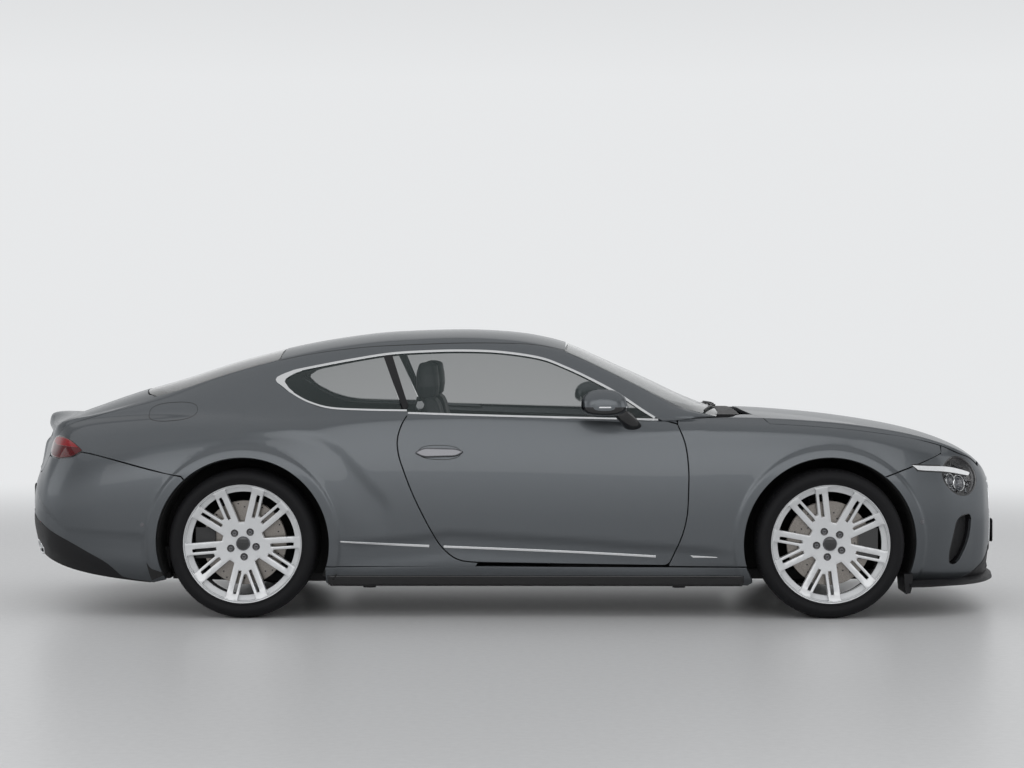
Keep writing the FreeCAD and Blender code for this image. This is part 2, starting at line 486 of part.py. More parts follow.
for side in (1, -1):
    lamp_tubes.append(Part.makeCylinder(size("headlamp_radius"), 300.0, V(2120.0, side * 690.0, 668.0),
                                        V(0.80, side * 0.58, 0.16)))
front_bumper = outer_lower.common(side_prism(FRONT_BUMPER_ZONE, -far, far)).cut(bumper_inner).cut(bonnet_opening)
front_bumper = front_bumper.cut(all_houses).cut(underbody)
front_bumper = front_bumper.cut(grille_hole.multiFuse([low_hole] + side_holes)).cut(lamp_tubes[0].fuse(lamp_tubes[1]))
keep("front_bumper", front_bumper)
tail_tubes = []
for side in (1, -1):
    tube = Part.Ellipse(V(0, 0, 0), size("tail_lamp_half"), size("tail_lamp_tall"))
    face = Part.Face(Part.Wire([tube.toShape()])).extrude(V(0, 0, 320.0))
    turn = FreeCAD.Rotation(V(0, 0, 1), side * 136.0).multiply(FreeCAD.Rotation(V(0, 1, 0), 90)).multiply(
        FreeCAD.Rotation(V(0, 0, 1), 90))
    face.Placement = FreeCAD.Placement(V(-2165.0, side * 660.0, 820.0), turn)
    tail_tubes.append(face)
rear_bumper = outer_lower.common(side_prism(REAR_BUMPER_ZONE, -far, far)).cut(bumper_inner).cut(all_houses)
rear_bumper = rear_bumper.cut(box(-2600.0, -1610.0, -700.0, 700.0, 0.0, 330.0)).cut(boot_opening)
rear_bumper = rear_bumper.cut(tail_tubes[0].fuse(tail_tubes[1]))
for node in NODES:
    if node.Label.startswith("body_side"):
        node.Shape = biggest(node.Shape.cut(tail_tubes[0].fuse(tail_tubes[1])))
    if node.Label.startswith("front_wing"):
        node.Shape = biggest(node.Shape.cut(lamp_tubes[0].fuse(lamp_tubes[1])))
keep("rear_bumper", rear_bumper)
keep("headlamps", outer_lower.common(lamp_tubes[0].fuse(lamp_tubes[1])).cut(bonnet_opening), single=False)
keep("tail_lamps", outer.common(tail_tubes[0].fuse(tail_tubes[1])).cut(boot_opening), single=False)

# ---------------------------------------------------------------- doors
inset_door = grown(DOOR, -size("door_box_inset"))
HANDLE = [(-472.0, 803.0), (-440.0, 782.0), (-262.0, 786.0), (-231.0, 808.0), (-262.0, 822.0), (-440.0, 826.0)]
# Mirror head, from the door outward: y, middle x and z, half length and half height.
MIRROR = ((905.0, 452.0, 1052.0, 80.0, 42.0), (960.0, 450.0, 1048.0, 108.0, 66.0),
          (1040.0, 448.0, 1046.0, 112.0, 68.0), (1080.0, 446.0, 1048.0, 96.0, 54.0),
          (1093.0, 444.0, 1050.0, 60.0, 26.0))


def mirror_section(row, side):
    y, x, z, half_length, half_height = row
    front = V(x + half_length, side * y, z)
    back = V(x - half_length, side * y, z)
    edges = [Part.Arc(front, V(x, side * y, z + half_height), back).toShape(),
             Part.Arc(back, V(x, side * y, z - half_height), front).toShape()]
    return Part.Wire(edges)


for side, name in ((1, "left"), (-1, "right")):
    def flip(shape):
        return shape if side > 0 else mirror_y(shape)
    slab = outer_lower.common(side_prism(DOOR, *sorted((side * 795.0, side * far)))).cut(door_inner)
    core = outer_lower.common(side_prism(inset_door, *sorted((side * size("door_inner_half"), side * far))))
    core = core.cut(flip(box(hinge_x + size("hinge_pin") + size("hinge_wall"), 2000.0, 0.0, far, 0.0, 2000.0)))
    for z in (size("hinge_upper_z"), size("hinge_lower_z")):
        reach = size("hinge_strap") / 2 + 5.0
        core = core.cut(flip(box(hinge_x - 14.0, 2000.0, 0.0, hinge_y + 9.0, z - reach, z + reach)))
        core = core.cut(flip(Part.makeCylinder(size("hinge_pin") + size("hinge_clearance"), 60.0,
                                               V(hinge_x, hinge_y, z - 30.0))))
    # Elbow hollow on the cabin side of the door.
    elbow = flip(box(-300.0, 500.0, 0.0, size("door_inner_half") + 40.0, 470.0, 760.0))
    handle = lower_body(-size("handle_proud")).common(side_prism(HANDLE, *sorted((side * 900.0, side * far))))
    keep("door_" + name, slab.multiFuse([core.cut(elbow), handle.cut(door_inner)]))
    door_solid = NODES[-1].Shape
    pane = glass_shell.common(side_prism(DOOR_GLASS + [(600.0, 962.0)], *sorted((0.0, side * far))))
    keep("door_glass_" + name, pane.cut(door_solid))
    base = flip(box(560.0, 640.0, 845.0, 880.0, 900.0, 985.0))
    arm = flip(plan_prism([(560.0, 860.0), (640.0, 860.0), (590.0, 1010.0), (540.0, 1010.0)], 925.0, 962.0))
    head = Part.makeLoft([mirror_section(row, side) for row in MIRROR], True, True)
    neck = flip(box(520.0, 580.0, 930.0, 1000.0, 950.0, 1010.0))
    keep("door_mirror_" + name, base.multiFuse([arm, neck, head]).cut(door_solid).cut(NODES[-1].Shape))

# ---------------------------------------------------------------- grille, intakes, plates, splitter, diffuser
grille_back = size("bumper_skin") + size("grille_skin")
mesh = bumper_inner.common(grille_hole.multiFuse([low_hole] + side_holes)).cut(
    lower_body(grille_back, grille_back, grille_back, size("bumper_depth") + 20.0))
cells = []
cell = size("grille_pitch") - size("grille_bar")
for column in range(-6, 7):
    for level in range(5):
        y = column * size("grille_pitch")
        z = 342.0 + level * size("grille_pitch")
        if abs(y) < 372.0:
            cells.append(box(2200.0, nose_x, y - cell / 2, y + cell / 2, z, z + cell))
mesh = mesh.cut(Part.makeCompound(cells))
keep("grille", mesh, single=False)
plate_y = size("plate_width") / 2
front_plate = box(nose_x, nose_x + size("plate_thickness"), -plate_y, plate_y, 300.0, 300.0 + size("plate_height"))
rear_plate = box(tail_x - size("plate_thickness"), tail_x, -plate_y, plate_y, 500.0, 500.0 + size("plate_height"))
keep("number_plates", Part.makeCompound([front_plate, rear_plate]), single=False)

SPLITTER_EDGE = [(2100.0, 840.0), (2235.0, 768.0), (2340.0, 640.0), (2398.0, 500.0), (2434.0, 345.0), (2455.0, 180.0)]
splitter = plan_prism(symmetric(SPLITTER_EDGE), 146.0, 176.0).cut(outer_lower)
keep("splitter", splitter)
tips = []
holes = []
for side in (1, -1):
    rings = []
    for wall in (0.0, size("tip_wall")):
        wire = Part.Wire([Part.Ellipse(V(0, 0, 0), size("tip_wide") - wall, size("tip_tall") - wall).toShape()])
        rings.append(Part.Face(wire).extrude(V(0, 0, size("tip_length"))))
    for ring in rings:
        ring.Placement = FreeCAD.Placement(V(size("tip_x"), side * size("tip_y"), size("tip_z")),
                                           FreeCAD.Rotation(V(0, 1, 0), 90).multiply(FreeCAD.Rotation(V(0, 0, 1), 90)))
    holes.append(rings[0])
    tips.append(rings[0].cut(rings[1]))
DIFFUSER = [(-2376.0, 300.0), (-2000.0, 205.0), (-1792.0, 168.0), (-1693.0, 170.0), (-1693.0, 330.0), (-2376.0, 330.0)]
diffuser = side_prism(DIFFUSER, -700.0, 700.0).common(outer_lower).cut(holes[0].fuse(holes[1]))
keep("diffuser", diffuser)
rear = next(n for n in NODES if n.Label == "rear_bumper")
rear.Shape = biggest(rear.Shape.cut(holes[0].fuse(holes[1])))
keep("exhaust_tips", Part.makeCompound(tips), single=False)

# ---------------------------------------------------------------- wheelhouse liners
liners = []
for end, x, inner in (("front", front_x, size("front_house_inner")), ("rear", rear_x, size("rear_house_inner"))):
    for side in (1, -1):
        y_low, y_high = (inner + 1.0, 925.0) if side > 0 else (-925.0, -inner - 1.0)
        ring = cylinder_y(size("arch_radius"), x, wheel_z, y_low, y_high).cut(
            cylinder_y(size("arch_radius") - size("liner_thickness"), x, wheel_z, y_low - 1, y_high + 1))
        ring = ring.common(box(x - 500.0, x + 500.0, -far, far, wheel_z + 20.0, 900.0)).common(skin_inner)
        liners.append(biggest(ring))
keep("arch_liners", Part.makeCompound(liners), single=False)


# ---------------------------------------------------------------- primitives bound to the sheet
def bound(kind, name, bindings, placement=None, **values):
    """Part primitive whose sizes are expressions of the sheet."""
    thing = doc.addObject(kind, name)
    for key, value in values.items():
        setattr(thing, key, value)
    if placement is not None:
        thing.Placement = placement
    for key, expression in bindings.items():
        thing.setExpression(key, expression)
    return thing


def along_y(x, y, z):
    return FreeCAD.Placement(V(x, y, z), FreeCAD.Rotation(V(1, 0, 0), -90))


AXLES = (("front", "front_tyre_width", "front_track", "sizes.front_axle_x"),
         ("rear", "rear_tyre_width", "rear_track", "sizes.front_axle_x - sizes.wheelbase"))
# Bars of a double spoke: width and its side step from the spoke's middle, in degrees.
SPOKE_BARS = ((27.0, -5.0), (13.0, 4.6))
for end, width_name, track_name, x_expression in AXLES:
    for side, name in ((1, "left"), (-1, "right")):
        label = "%s_%s" % (end, name)
        width = size(width_name)
        centre_y = side * size(track_name) / 2
        x = front_x if end == "front" else rear_x
        low_y = "%d * sizes.%s / 2 - sizes.%s / 2" % (side, track_name, width_name)
        place = {"Placement.Base.x": x_expression, "Placement.Base.z": "sizes.wheel_radius"}
        body = bound("Part::Cylinder", "tread_" + label, dict(
            place, Radius="sizes.wheel_radius", Height="sizes." + width_name, **{"Placement.Base.y": low_y}),
            along_y(x, centre_y - width / 2, wheel_z))
        round_off = doc.addObject("Part::Fillet", "shoulder_" + label)
        round_off.Base = body
        doc.recompute()
        rims = [i + 1 for i, e in enumerate(body.Shape.Edges) if abs(e.Length - 2 * math.pi * wheel_z) < 1.0]
        round_off.Edges = [(i, size("tyre_corner"), size("tyre_corner")) for i in rims]
        hole = bound("Part::Cylinder", "bead_" + label, dict(
            place, Radius="sizes.rim_radius", Height="sizes.%s + 20" % width_name,
            **{"Placement.Base.y": low_y + " - 10"}), along_y(x, centre_y - width / 2 - 10, wheel_z))
        tyre = doc.addObject("Part::Cut", "tyre_" + label)
        tyre.Base = round_off
        tyre.Tool = hole
        tyre.Label = "tyre_" + label
        NODES.append(tyre)

        # Wheel: barrel, spokes, hub with its blind bore, and the brake disc.
        def at(local_y):
            return centre_y + side * local_y

        def span(first, second):
            return min(at(first), at(second)), max(at(first), at(second))
        half_rim = width / 2 - size("rim_set_in")
        low, high = span(-half_rim, half_rim)
        barrel = cylinder_y(size("rim_radius"), x, wheel_z, low, high).cut(
            cylinder_y(size("rim_radius") - size("rim_wall"), x, wheel_z, low - 1, high + 1))
        face_y = width / 2 - size("spoke_set_back")
        low, high = span(size("disc_near"), face_y)
        parts = [barrel, cylinder_y(size("hub_radius"), x, wheel_z, low, high)]
        low, high = span(size("disc_near"), size("disc_near") + size("disc_thickness"))
        parts.append(cylinder_y(size("disc_radius"), x, wheel_z, low, high))
        low, high = span(face_y - size("spoke_depth"), face_y)
        for index in range(int(size("spoke_count"))):
            mirror = 1 if index % 2 else -1
            for bar_width, step in SPOKE_BARS:
                bar = box(x - bar_width / 2, x + bar_width / 2, low, high, wheel_z + size("spoke_root"),
                          wheel_z + size("rim_radius") - size("rim_wall") / 2)
                bar.rotate(V(x, 0, wheel_z), V(0, 1, 0), (index + 0.5) * 360.0 / size("spoke_count") + mirror * step)
                parts.append(bar)
        wheel = parts[0].multiFuse(parts[1:])
        low, high = span(size("disc_near") - 1.0, size("hub_bore_depth"))
        wheel = wheel.cut(cylinder_y(size("hub_bore"), x, wheel_z, low, high))
        keep("wheel_" + label, wheel.removeSplitter())

# ---------------------------------------------------------------- knuckles, axles
def upright(x, track, side, caliper_side):
    """Upright with stub axle and caliper, for the wheel on one side."""
    centre_y = side * track / 2

    def block(x_low, x_high, first, second, z_low, z_high):
        ends = (centre_y + side * first, centre_y + side * second)
        return box(x_low, x_high, min(ends), max(ends), wheel_z + z_low, wheel_z + z_high)
    ends = (centre_y - side * 12.0, centre_y + side * size("stub_reach"))
    stub = cylinder_y(size("hub_bore") - 0.05, x, wheel_z, min(ends), max(ends))
    pieces = [block(x - 38.0, x + 38.0, -60.0, -10.0, -150.0, 150.0), stub]
    carrier = block(x + 30.0, x + 235.0, -30.0, -12.0, -40.0, 40.0)
    jaws = block(x + 140.0, x + 235.0, -12.0, 66.0, -size("calliper_height"), size("calliper_height"))
    jaws = jaws.cut(cylinder_y(size("disc_radius") + 6.0, x, wheel_z, *sorted(
        (centre_y + side * (size("disc_near") - 6.0), centre_y + side * (size("disc_near") + size("disc_thickness") + 6.0)))))
    holder = carrier.fuse(jaws)
    if caliper_side < 0:
        holder.rotate(V(x, 0, wheel_z), V(0, 1, 0), 180.0)
    return pieces[0].multiFuse(pieces[1:] + [holder])


for side, name in ((1, "left"), (-1, "right")):
    pin_y = side * (size("front_track") / 2 - size("king_pin_inset"))
    knuckle = upright(front_x, size("front_track"), side, 1)
    knuckle = knuckle.fuse(Part.makeCylinder(size("king_pin") + 10.0, 300.0, V(front_x, pin_y, wheel_z - 150.0)))
    for low in (-151.0, 100.0):
        knuckle = knuckle.cut(Part.makeCylinder(size("king_pin") + size("hinge_clearance"), 51.0,
                                                V(front_x, pin_y, wheel_z + low)))
    keep("knuckle_front_" + name, knuckle)
arms = [box(front_x - 60.0, front_x + 60.0, -500.0, 500.0, 320.0, 350.0)]
for side in (1, -1):
    pin_y = size("front_track") / 2 - size("king_pin_inset")
    pieces = [box(front_x - 60.0, front_x + 60.0, 470.0, 520.0, floor_top + 0.3, 560.0)]
    for level in (-180.0, 160.0):
        pieces.append(plan_prism([(front_x - 55.0, 500.0), (front_x + 55.0, 500.0), (front_x + 18.0, pin_y + 16.0),
                                  (front_x - 18.0, pin_y + 16.0)], wheel_z + level, wheel_z + level + 24.0))
        start = wheel_z + level if level < 0 else wheel_z + level - 50.0
        pieces.append(Part.makeCylinder(size("king_pin"), 70.0, V(front_x, pin_y, start)))
    arm = pieces[0].multiFuse(pieces[1:])
    arms.append(arm if side > 0 else mirror_y(arm))
keep("front_axle", arms[0].multiFuse(arms[1:]))
beam = [box(rear_x - 70.0, rear_x + 70.0, -600.0, 600.0, 290.0, 380.0)]
for side in (1, -1):
    beam.append(upright(rear_x, size("rear_track"), side, -1))
    ends = sorted((side * 590.0, side * (size("rear_track") / 2 - 55.0)))
    beam.append(cylinder_y(size("axle_tube"), rear_x, wheel_z, ends[0], ends[1]))
keep("rear_axle", beam[0].multiFuse(beam[1:]))

# ---------------------------------------------------------------- engine and cabin
engine = box(size("engine_x"), size("engine_x") + size("engine_length"), -size("engine_width") / 2,
             size("engine_width") / 2, size("engine_z"), size("engine_z") + size("engine_height"))
mount = box(1060.0, 1160.0, -bay_half, bay_half, 250.0, 300.0)
keep("engine", engine.fuse(mount))
DASH = [(950.0, 640.0), (950.0, 900.0), (880.0, 925.0), (650.0, 925.0), (560.0, 860.0), (590.0, 700.0), (700.0, 640.0)]
CONSOLE = [(700.0, 660.0), (600.0, 760.0), (420.0, 560.0), (-420.0, 540.0), (-440.0, 330.0), (900.0, 330.0), (900.0, 660.0)]
dash = side_prism(DASH, -size("dash_half"), size("dash_half")).fuse(
    side_prism(CONSOLE, -size("console_half"), size("console_half")))
rake = math.radians(size("steering_rake"))
axis = V(-math.cos(rake), 0, math.sin(rake))
hub_point = V(size("steering_x"), size("steering_y"), size("steering_z"))
column = Part.makeCylinder(size("column_radius"), 340.0, hub_point - axis * 320.0, axis)
column = column.cut(Part.makeCylinder(60.0, 100.0, hub_point - axis * 30.0, axis))
pin = Part.makeCylinder(12.0, 60.0, hub_point - axis * 60.0, axis)
keep("dashboard", dash.multiFuse([column, pin]))
rim = Part.makeTorus(size("steering_wheel_radius"), size("steering_rim"), hub_point, axis)
hub = Part.makeCylinder(58.0, 48.0, hub_point - axis * 24.0, axis)
across = V(0, 1, 0)
spokes = []
for angle in (0.0, 180.0, 270.0):
    bar = Part.makeBox(size("steering_wheel_radius") - 40.0, 26.0, 16.0, V(40.0, -13.0, -8.0))
    bar.rotate(V(0, 0, 0), V(0, 0, 1), angle)
    up = axis.cross(across)
    bar = bar.transformGeometry(FreeCAD.Matrix(across.x, up.x, axis.x, hub_point.x, across.y, up.y, axis.y,
                                               hub_point.y, across.z, up.z, axis.z, hub_point.z, 0, 0, 0, 1))
    spokes.append(bar)
wheel = rim.multiFuse([hub] + spokes).cut(Part.makeCylinder(12.05, 50.0, hub_point - axis * 49.0, axis))
keep("steering_wheel", wheel)
SEAT = [(230.0, 260.0), (230.0, 450.0), (150.0, 470.0), (-230.0, 430.0), (-330.0, 1040.0), (-345.0, 1238.0), (-440.0, 1238.0),
        (-490.0, 1040.0), (-400.0, 330.0), (-380.0, 200.0), (130.0, 200.0), (130.0, 260.0)]
seats = [side_prism(SEAT, side * size("seat_y") - size("seat_width") / 2, side * size("seat_y") + size("seat_width") / 2)
         for side in (1, -1)]
keep("front_seats", Part.makeCompound(seats), single=False)
BENCH = [(-690.0, 330.0), (-690.0, 560.0), (-1010.0, 540.0), (-1100.0, 940.0), (-1110.0, 1010.0), (-1175.0, 1010.0),
         (-1180.0, 930.0), (-1180.0, 330.0)]
keep("rear_seat", side_prism(BENCH, -size("bench_half"), size("bench_half")))

# ---------------------------------------------------------------- checks and export
doc.recompute()
for thing in doc.Objects:
    if "Invalid" in thing.State or "Error" in thing.State:
        raise RuntimeError("object failed: " + thing.Label)
for node in NODES:
    if node.Shape.isNull() or not node.Shape.isValid():
        raise RuntimeError("bad shape: " + node.Label)
os.makedirs("parts", exist_ok=True)
for node in NODES:
    node.Shape.exportStep("parts/%s.step" % node.Label)
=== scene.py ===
import json
import math

import bpy
import numpy as np
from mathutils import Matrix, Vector
from mathutils.geometry import delaunay_2d_cdt

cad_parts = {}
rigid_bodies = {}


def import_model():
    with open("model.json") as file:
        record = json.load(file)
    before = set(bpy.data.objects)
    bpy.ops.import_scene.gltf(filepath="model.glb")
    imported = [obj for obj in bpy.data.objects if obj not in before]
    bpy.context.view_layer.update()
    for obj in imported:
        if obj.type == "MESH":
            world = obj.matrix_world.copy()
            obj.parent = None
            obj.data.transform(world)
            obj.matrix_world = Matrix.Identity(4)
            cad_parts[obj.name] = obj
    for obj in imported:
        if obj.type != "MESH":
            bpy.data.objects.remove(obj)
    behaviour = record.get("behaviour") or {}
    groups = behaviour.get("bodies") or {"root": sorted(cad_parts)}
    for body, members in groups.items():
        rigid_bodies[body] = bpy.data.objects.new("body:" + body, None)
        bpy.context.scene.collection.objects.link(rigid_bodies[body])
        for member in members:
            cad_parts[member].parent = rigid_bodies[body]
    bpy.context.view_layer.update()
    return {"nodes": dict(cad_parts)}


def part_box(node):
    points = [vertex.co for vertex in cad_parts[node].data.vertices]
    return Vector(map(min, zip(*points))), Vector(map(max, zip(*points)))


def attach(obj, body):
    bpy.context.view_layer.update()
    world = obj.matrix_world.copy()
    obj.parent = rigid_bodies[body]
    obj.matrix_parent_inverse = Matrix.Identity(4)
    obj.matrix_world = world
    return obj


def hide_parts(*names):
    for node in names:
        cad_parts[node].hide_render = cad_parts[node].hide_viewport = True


for old in list(bpy.data.objects):
    bpy.data.objects.remove(old)
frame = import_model()
MM = 0.001

# ---------------------------------------------------------------- camera at the right-hand side
scene = bpy.context.scene
scene.view_settings.view_transform = "Standard"
camera = bpy.data.objects.new("camera", bpy.data.cameras.new("camera"))
scene.collection.objects.link(camera)
camera.data.sensor_width = 36.0
camera.data.lens = 87.3
camera.data.clip_end = 60.0
camera.location = (0.1235, -12.965, 1.405)
camera.rotation_euler = (math.radians(90 - 1.27), 0.0, math.radians(0.58))
scene.camera = camera

# ---------------------------------------------------------------- body surface, millimetres
# x, underside, sill half, widest half, its z, shoulder half, z, deck half, z, centre z
LOWER = [(-2447, 380, 250, 300, 560, 160, 665, 110, 700, 715),
         (-2412, 335, 410, 450, 570, 190, 720, 130, 840, 936),
         (-2390, 320, 520, 570, 575, 290, 740, 200, 860, 948),
         (-2330, 285, 690, 740, 590, 500, 775, 370, 885, 962),
         (-2270, 262, 795, 843, 595, 700, 805, 575, 890, 970),
         (-2180, 230, 850, 892, 610, 785, 865, 680, 925, 978),
         (-1980, 190, 895, 940, 630, 840, 900, 735, 955, 990),
         (-1700, 162, 925, 972, 640, 890, 934, 790, 975, 1000),
         (-1306, 152, 938, 983, 640, 918, 942, 815, 985, 1005),
         (-1050, 150, 935, 972, 620, 915, 938, 810, 985, 1008),
         (-700, 150, 930, 956, 600, 902, 960, 800, 990, 1010),
         (-100, 150, 925, 948, 600, 892, 972, 800, 992, 1010),
         (700, 150, 925, 950, 600, 890, 950, 800, 975, 1004),
         (1163, 150, 925, 955, 600, 900, 930, 810, 970, 998),
         (1545, 150, 915, 957, 600, 900, 912, 810, 950, 971),
         (1880, 150, 890, 935, 560, 885, 865, 800, 905, 926),
         (2080, 152, 840, 890, 530, 850, 805, 770, 855, 883),
         (2230, 156, 745, 800, 500, 755, 745, 680, 797, 830),
         (2330, 160, 610, 665, 470, 610, 685, 530, 735, 775),
         (2380, 164, 470, 520, 450, 480, 640, 400, 690, 735),
         (2415, 170, 330, 370, 430, 340, 600, 280, 645, 698),
         (2440, 176, 180, 210, 420, 190, 570, 160, 610, 650)]
# x, belt half, belt z, rail half, rail z, centre z
UPPER = [(-2220, 570, 930, 505, 945, 982), (-2060, 610, 945, 515, 985, 1041),
         (-1900, 660, 960, 525, 1030, 1094), (-1700, 720, 970, 535, 1085, 1151),
         (-1450, 780, 975, 548, 1168, 1233), (-1170, 835, 980, 560, 1246, 1306),
         (-900, 868, 985, 570, 1303, 1358), (-600, 882, 985, 578, 1340, 1393),
         (-250, 884, 980, 582, 1355, 1404), (0, 880, 970, 592, 1342, 1392), (250, 873, 962, 618, 1296, 1346),
         (400, 868, 958, 656, 1230, 1284), (550, 862, 955, 700, 1158, 1216), (700, 850, 955, 742, 1082, 1149),
         (850, 830, 950, 772, 1005, 1076), (1040, 800, 950, 770, 978, 999)]
NOSE_X, TAIL_X = 2440.0, -2447.0
NOSE_CROWN, TAIL_CROWN = 9.0, 5.0
FRONT_X, REAR_X, WHEEL_Z, ARCH_R = 1545.0, -1306.0, 362.0, 420.0


def pchip(xs, ys, at):
    """Monotone cubic curve through a table."""
    xs, ys = np.asarray(xs, float), np.asarray(ys, float)
    width = np.diff(xs)
    rise = np.diff(ys) / width
    slope = np.zeros(len(xs))
    product = rise[:-1] * rise[1:]
    mean = 2 * product / np.where(np.abs(rise[:-1] + rise[1:]) < 1e-9, 1.0, rise[:-1] + rise[1:])
    slope[1:-1] = np.where(product > 0, mean, 0.0)
    slope[0], slope[-1] = rise[0], rise[-1]
    i = np.clip(np.searchsorted(xs, at) - 1, 0, len(xs) - 2)
    u = np.clip((at - xs[i]) / width[i], 0, 1)
    return ((1 + 2 * u) * (1 - u) ** 2 * ys[i] + u * (1 - u) ** 2 * width[i] * slope[i]
            + u * u * (3 - 2 * u) * ys[i + 1] + u * u * (u - 1) * width[i] * slope[i + 1])


def step(value, low, high):
    """Smooth step from 0 at low to 1 at high."""
    u = np.clip((value - low) / (high - low), 0, 1)
    return u * u * (3 - 2 * u)


def soften(values, sigma, keep):
    """Gaussian smoothing along stations 5 mm apart; keep is 1 where the values stay as they are."""
    reach = int(sigma * 3 / 5)
    kernel = np.exp(-0.5 * (np.arange(-reach, reach + 1) * 5.0 / sigma) ** 2)
    kernel /= kernel.sum()
    padded = np.concatenate([2 * values[0] - values[reach:0:-1], values,
                             2 * values[-1] - values[-2:-reach - 2:-1]])
    return values * keep + np.convolve(padded, kernel, "valid") * (1 - keep)


def key_curves(stations):
    """Key curves of the half section at each station, from the underside round to the roof's centreline."""
    even = np.arange(TAIL_X, NOSE_X + 0.1, 5.0)
    ends = 1 - step(even, TAIL_X + 60, TAIL_X + 300) * (1 - step(even, NOSE_X - 300, NOSE_X - 60))
    low = [[row[k] for row in LOWER] for k in range(10)]
    up = [[row[k] for row in UPPER] for k in range(6)]
    lower = [soften(pchip(low[0], low[k], even), 40.0, ends) for k in range(1, 10)]
    under, sill, wide, wide_z, shoulder, shoulder_z, deck, deck_z, centre_low = lower
    within = np.clip(even, up[0][0], up[0][-1])
    upper = [soften(pchip(up[0], up[k], within), 40.0, ends) for k in range(1, 6)]
    belt, belt_z, rail, rail_z, centre = upper
    # past the greenhouse the upper curves lie on the deck
    def deck_height(half):
        inner = centre_low - (centre_low - deck_z) * (half / deck) ** 2
        slope = (shoulder_z - deck_z) / (shoulder - deck)
        return np.where(half < deck, inner, deck_z + slope * (half - deck))
    out = np.clip(step(even, 880, 1040) + 1 - step(even, -2300, -2160), 0, 1)
    belt = belt * (1 - out) + np.minimum(deck * 0.96, belt) * out
    rail = rail * (1 - out) + np.minimum(deck * 0.80, rail) * out
    belt_z = np.maximum(belt_z * (1 - out) + deck_height(belt) * out, deck_height(belt))
    rail_z = np.maximum(rail_z * (1 - out) + deck_height(rail) * out, deck_height(rail))
    below_glass = (even > 1040) | (even < -2220)
    centre = np.where(below_glass, centre_low, np.maximum(centre, centre_low))
    centre = soften(centre, 25.0, ends)
    deck_y = np.where(deck > belt + 4, deck, (shoulder + belt) / 2)
    deck_h = np.where(deck > belt + 4, deck_z, (shoulder_z + belt_z) / 2)
    bulge = 16.0 * (1 - out)
    mid, mid_z = (belt + rail) / 2 + bulge, (belt_z + rail_z) / 2 + bulge / 2
    curves = [(sill - 60, under), (sill, under + 60), (wide, wide_z), (shoulder, shoulder_z),
              (deck_y, deck_h), (belt, belt_z), (mid, mid_z), (rail, rail_z), (0 * centre, centre)]
    return [(np.interp(stations, even, y), np.interp(stations, even, z)) for y, z in curves]


def bow(a, b, c, u, middle):
    """Curve through a, b and c, with b at the share middle."""
    la = (u - middle) * (u - 1) / (middle * 1.0)
    lb = u * (u - 1) / (middle * (middle - 1))
    lc = u * (u - middle) / (1 - middle)
    return [la * p + lb * q + lc * r for p, q, r in zip(a, b, c)]


def body_grid():
    """Half body on a grid: stations along the car by columns from the sill to the centreline."""
    x = np.unique(np.concatenate([np.linspace(TAIL_X, -2380, 45), np.arange(-2380, 2380, 5.0),
                                  np.linspace(2380, NOSE_X, 45)]))
    keys = [(y[:, None], z[:, None]) for y, z in key_curves(x)]
    parts = []
    u = np.linspace(0, 1, 6, endpoint=False)[None]
    parts.append([keys[0][i] * (1 - u) + keys[1][i] * u for i in (0, 1)])
    u = np.linspace(0, 1, 64, endpoint=False)[None]
    side_share = 0.5
    parts.append(bow(keys[1], keys[2], keys[3], u, side_share))
    for a, b, count in ((3, 4, 8), (4, 5, 8)):
        u = np.linspace(0, 1, count, endpoint=False)[None]
        parts.append([keys[a][i] * (1 - u) + keys[b][i] * u for i in (0, 1)])
    u = np.linspace(0, 1, 40, endpoint=False)[None]
    parts.append(bow(keys[5], keys[6], keys[7], u, 0.5))
    u = np.linspace(0, 1, 54)[None]
    rail, centre = keys[7], keys[8]
    parts.append([rail[0] * (1 - u), centre[1] - (centre[1] - rail[1]) * (1 - u) ** 2])
    y = np.concatenate([p[0] for p in parts], 1)
    z = np.concatenate([p[1] for p in parts], 1)
    first_shelf = 6 + 64
    # corners of the section are rounded, more so where the pillar runs into the haunch
    columns = np.arange(y.shape[1])
    haunch = (1 - step(x, -1250, -800))[:, None]
    zone = step(columns, first_shelf - 14, first_shelf)
    zone = (zone * (1 - step(columns, first_shelf + 34, first_shelf + 50)))[None]
    for turn in range(60):
        weight = 0.5 if turn < 12 else 0.5 * haunch * zone
        for values, sign in ((y, -1), (z, 1)):
            right = np.concatenate([values[:, 1:], sign * values[:, -2:-1]], 1)
            left = np.concatenate([values[:, :1], values[:, :-1]], 1)
            change = (left + right) / 2 - values
            change[:, 0] = 0
            values += change * weight
    y[:, -1] = 0
    # nose and tail close towards the centreline
    rows = []
    for sign, edge, crown in ((-1, 0, TAIL_CROWN), (1, -1, NOSE_CROWN)):
        share = np.sin(np.linspace(0, math.pi / 2, 42)[1:])
        share[-1] = 1.0
        cap_y = y[edge][None] * (1 - share)[:, None]
        cap_z = np.repeat(z[edge][None], len(share), 0)
        cap_x = x[edge] + sign * crown * (1 - (1 - share) ** 2)
        rows.append((cap_x, cap_y, cap_z))
    (tx, ty, tz), (nx, ny, nz) = rows
    x = np.concatenate([tx[::-1], x, nx])
    y = np.concatenate([ty[::-1], y, ny])
    z = np.concatenate([tz[::-1], z, nz])
    return np.stack([np.repeat(x[:, None], y.shape[1], 1), y, z], 2)


def normals_of(grid):
    """Outward unit normals of a grid of points."""
    along = np.gradient(grid, axis=0)
    across = np.gradient(grid, axis=1)
    n = np.cross(across, along)
    length = np.linalg.norm(n, axis=2, keepdims=True)
    n = n / np.maximum(length, 1e-9)
    n[0], n[-1] = (-1.0, 0.0, 0.0), (1.0, 0.0, 0.0)
    if n[n.shape[0] // 2, 30, 1] < 0:
        n[1:-1] = -n[1:-1]
    return n


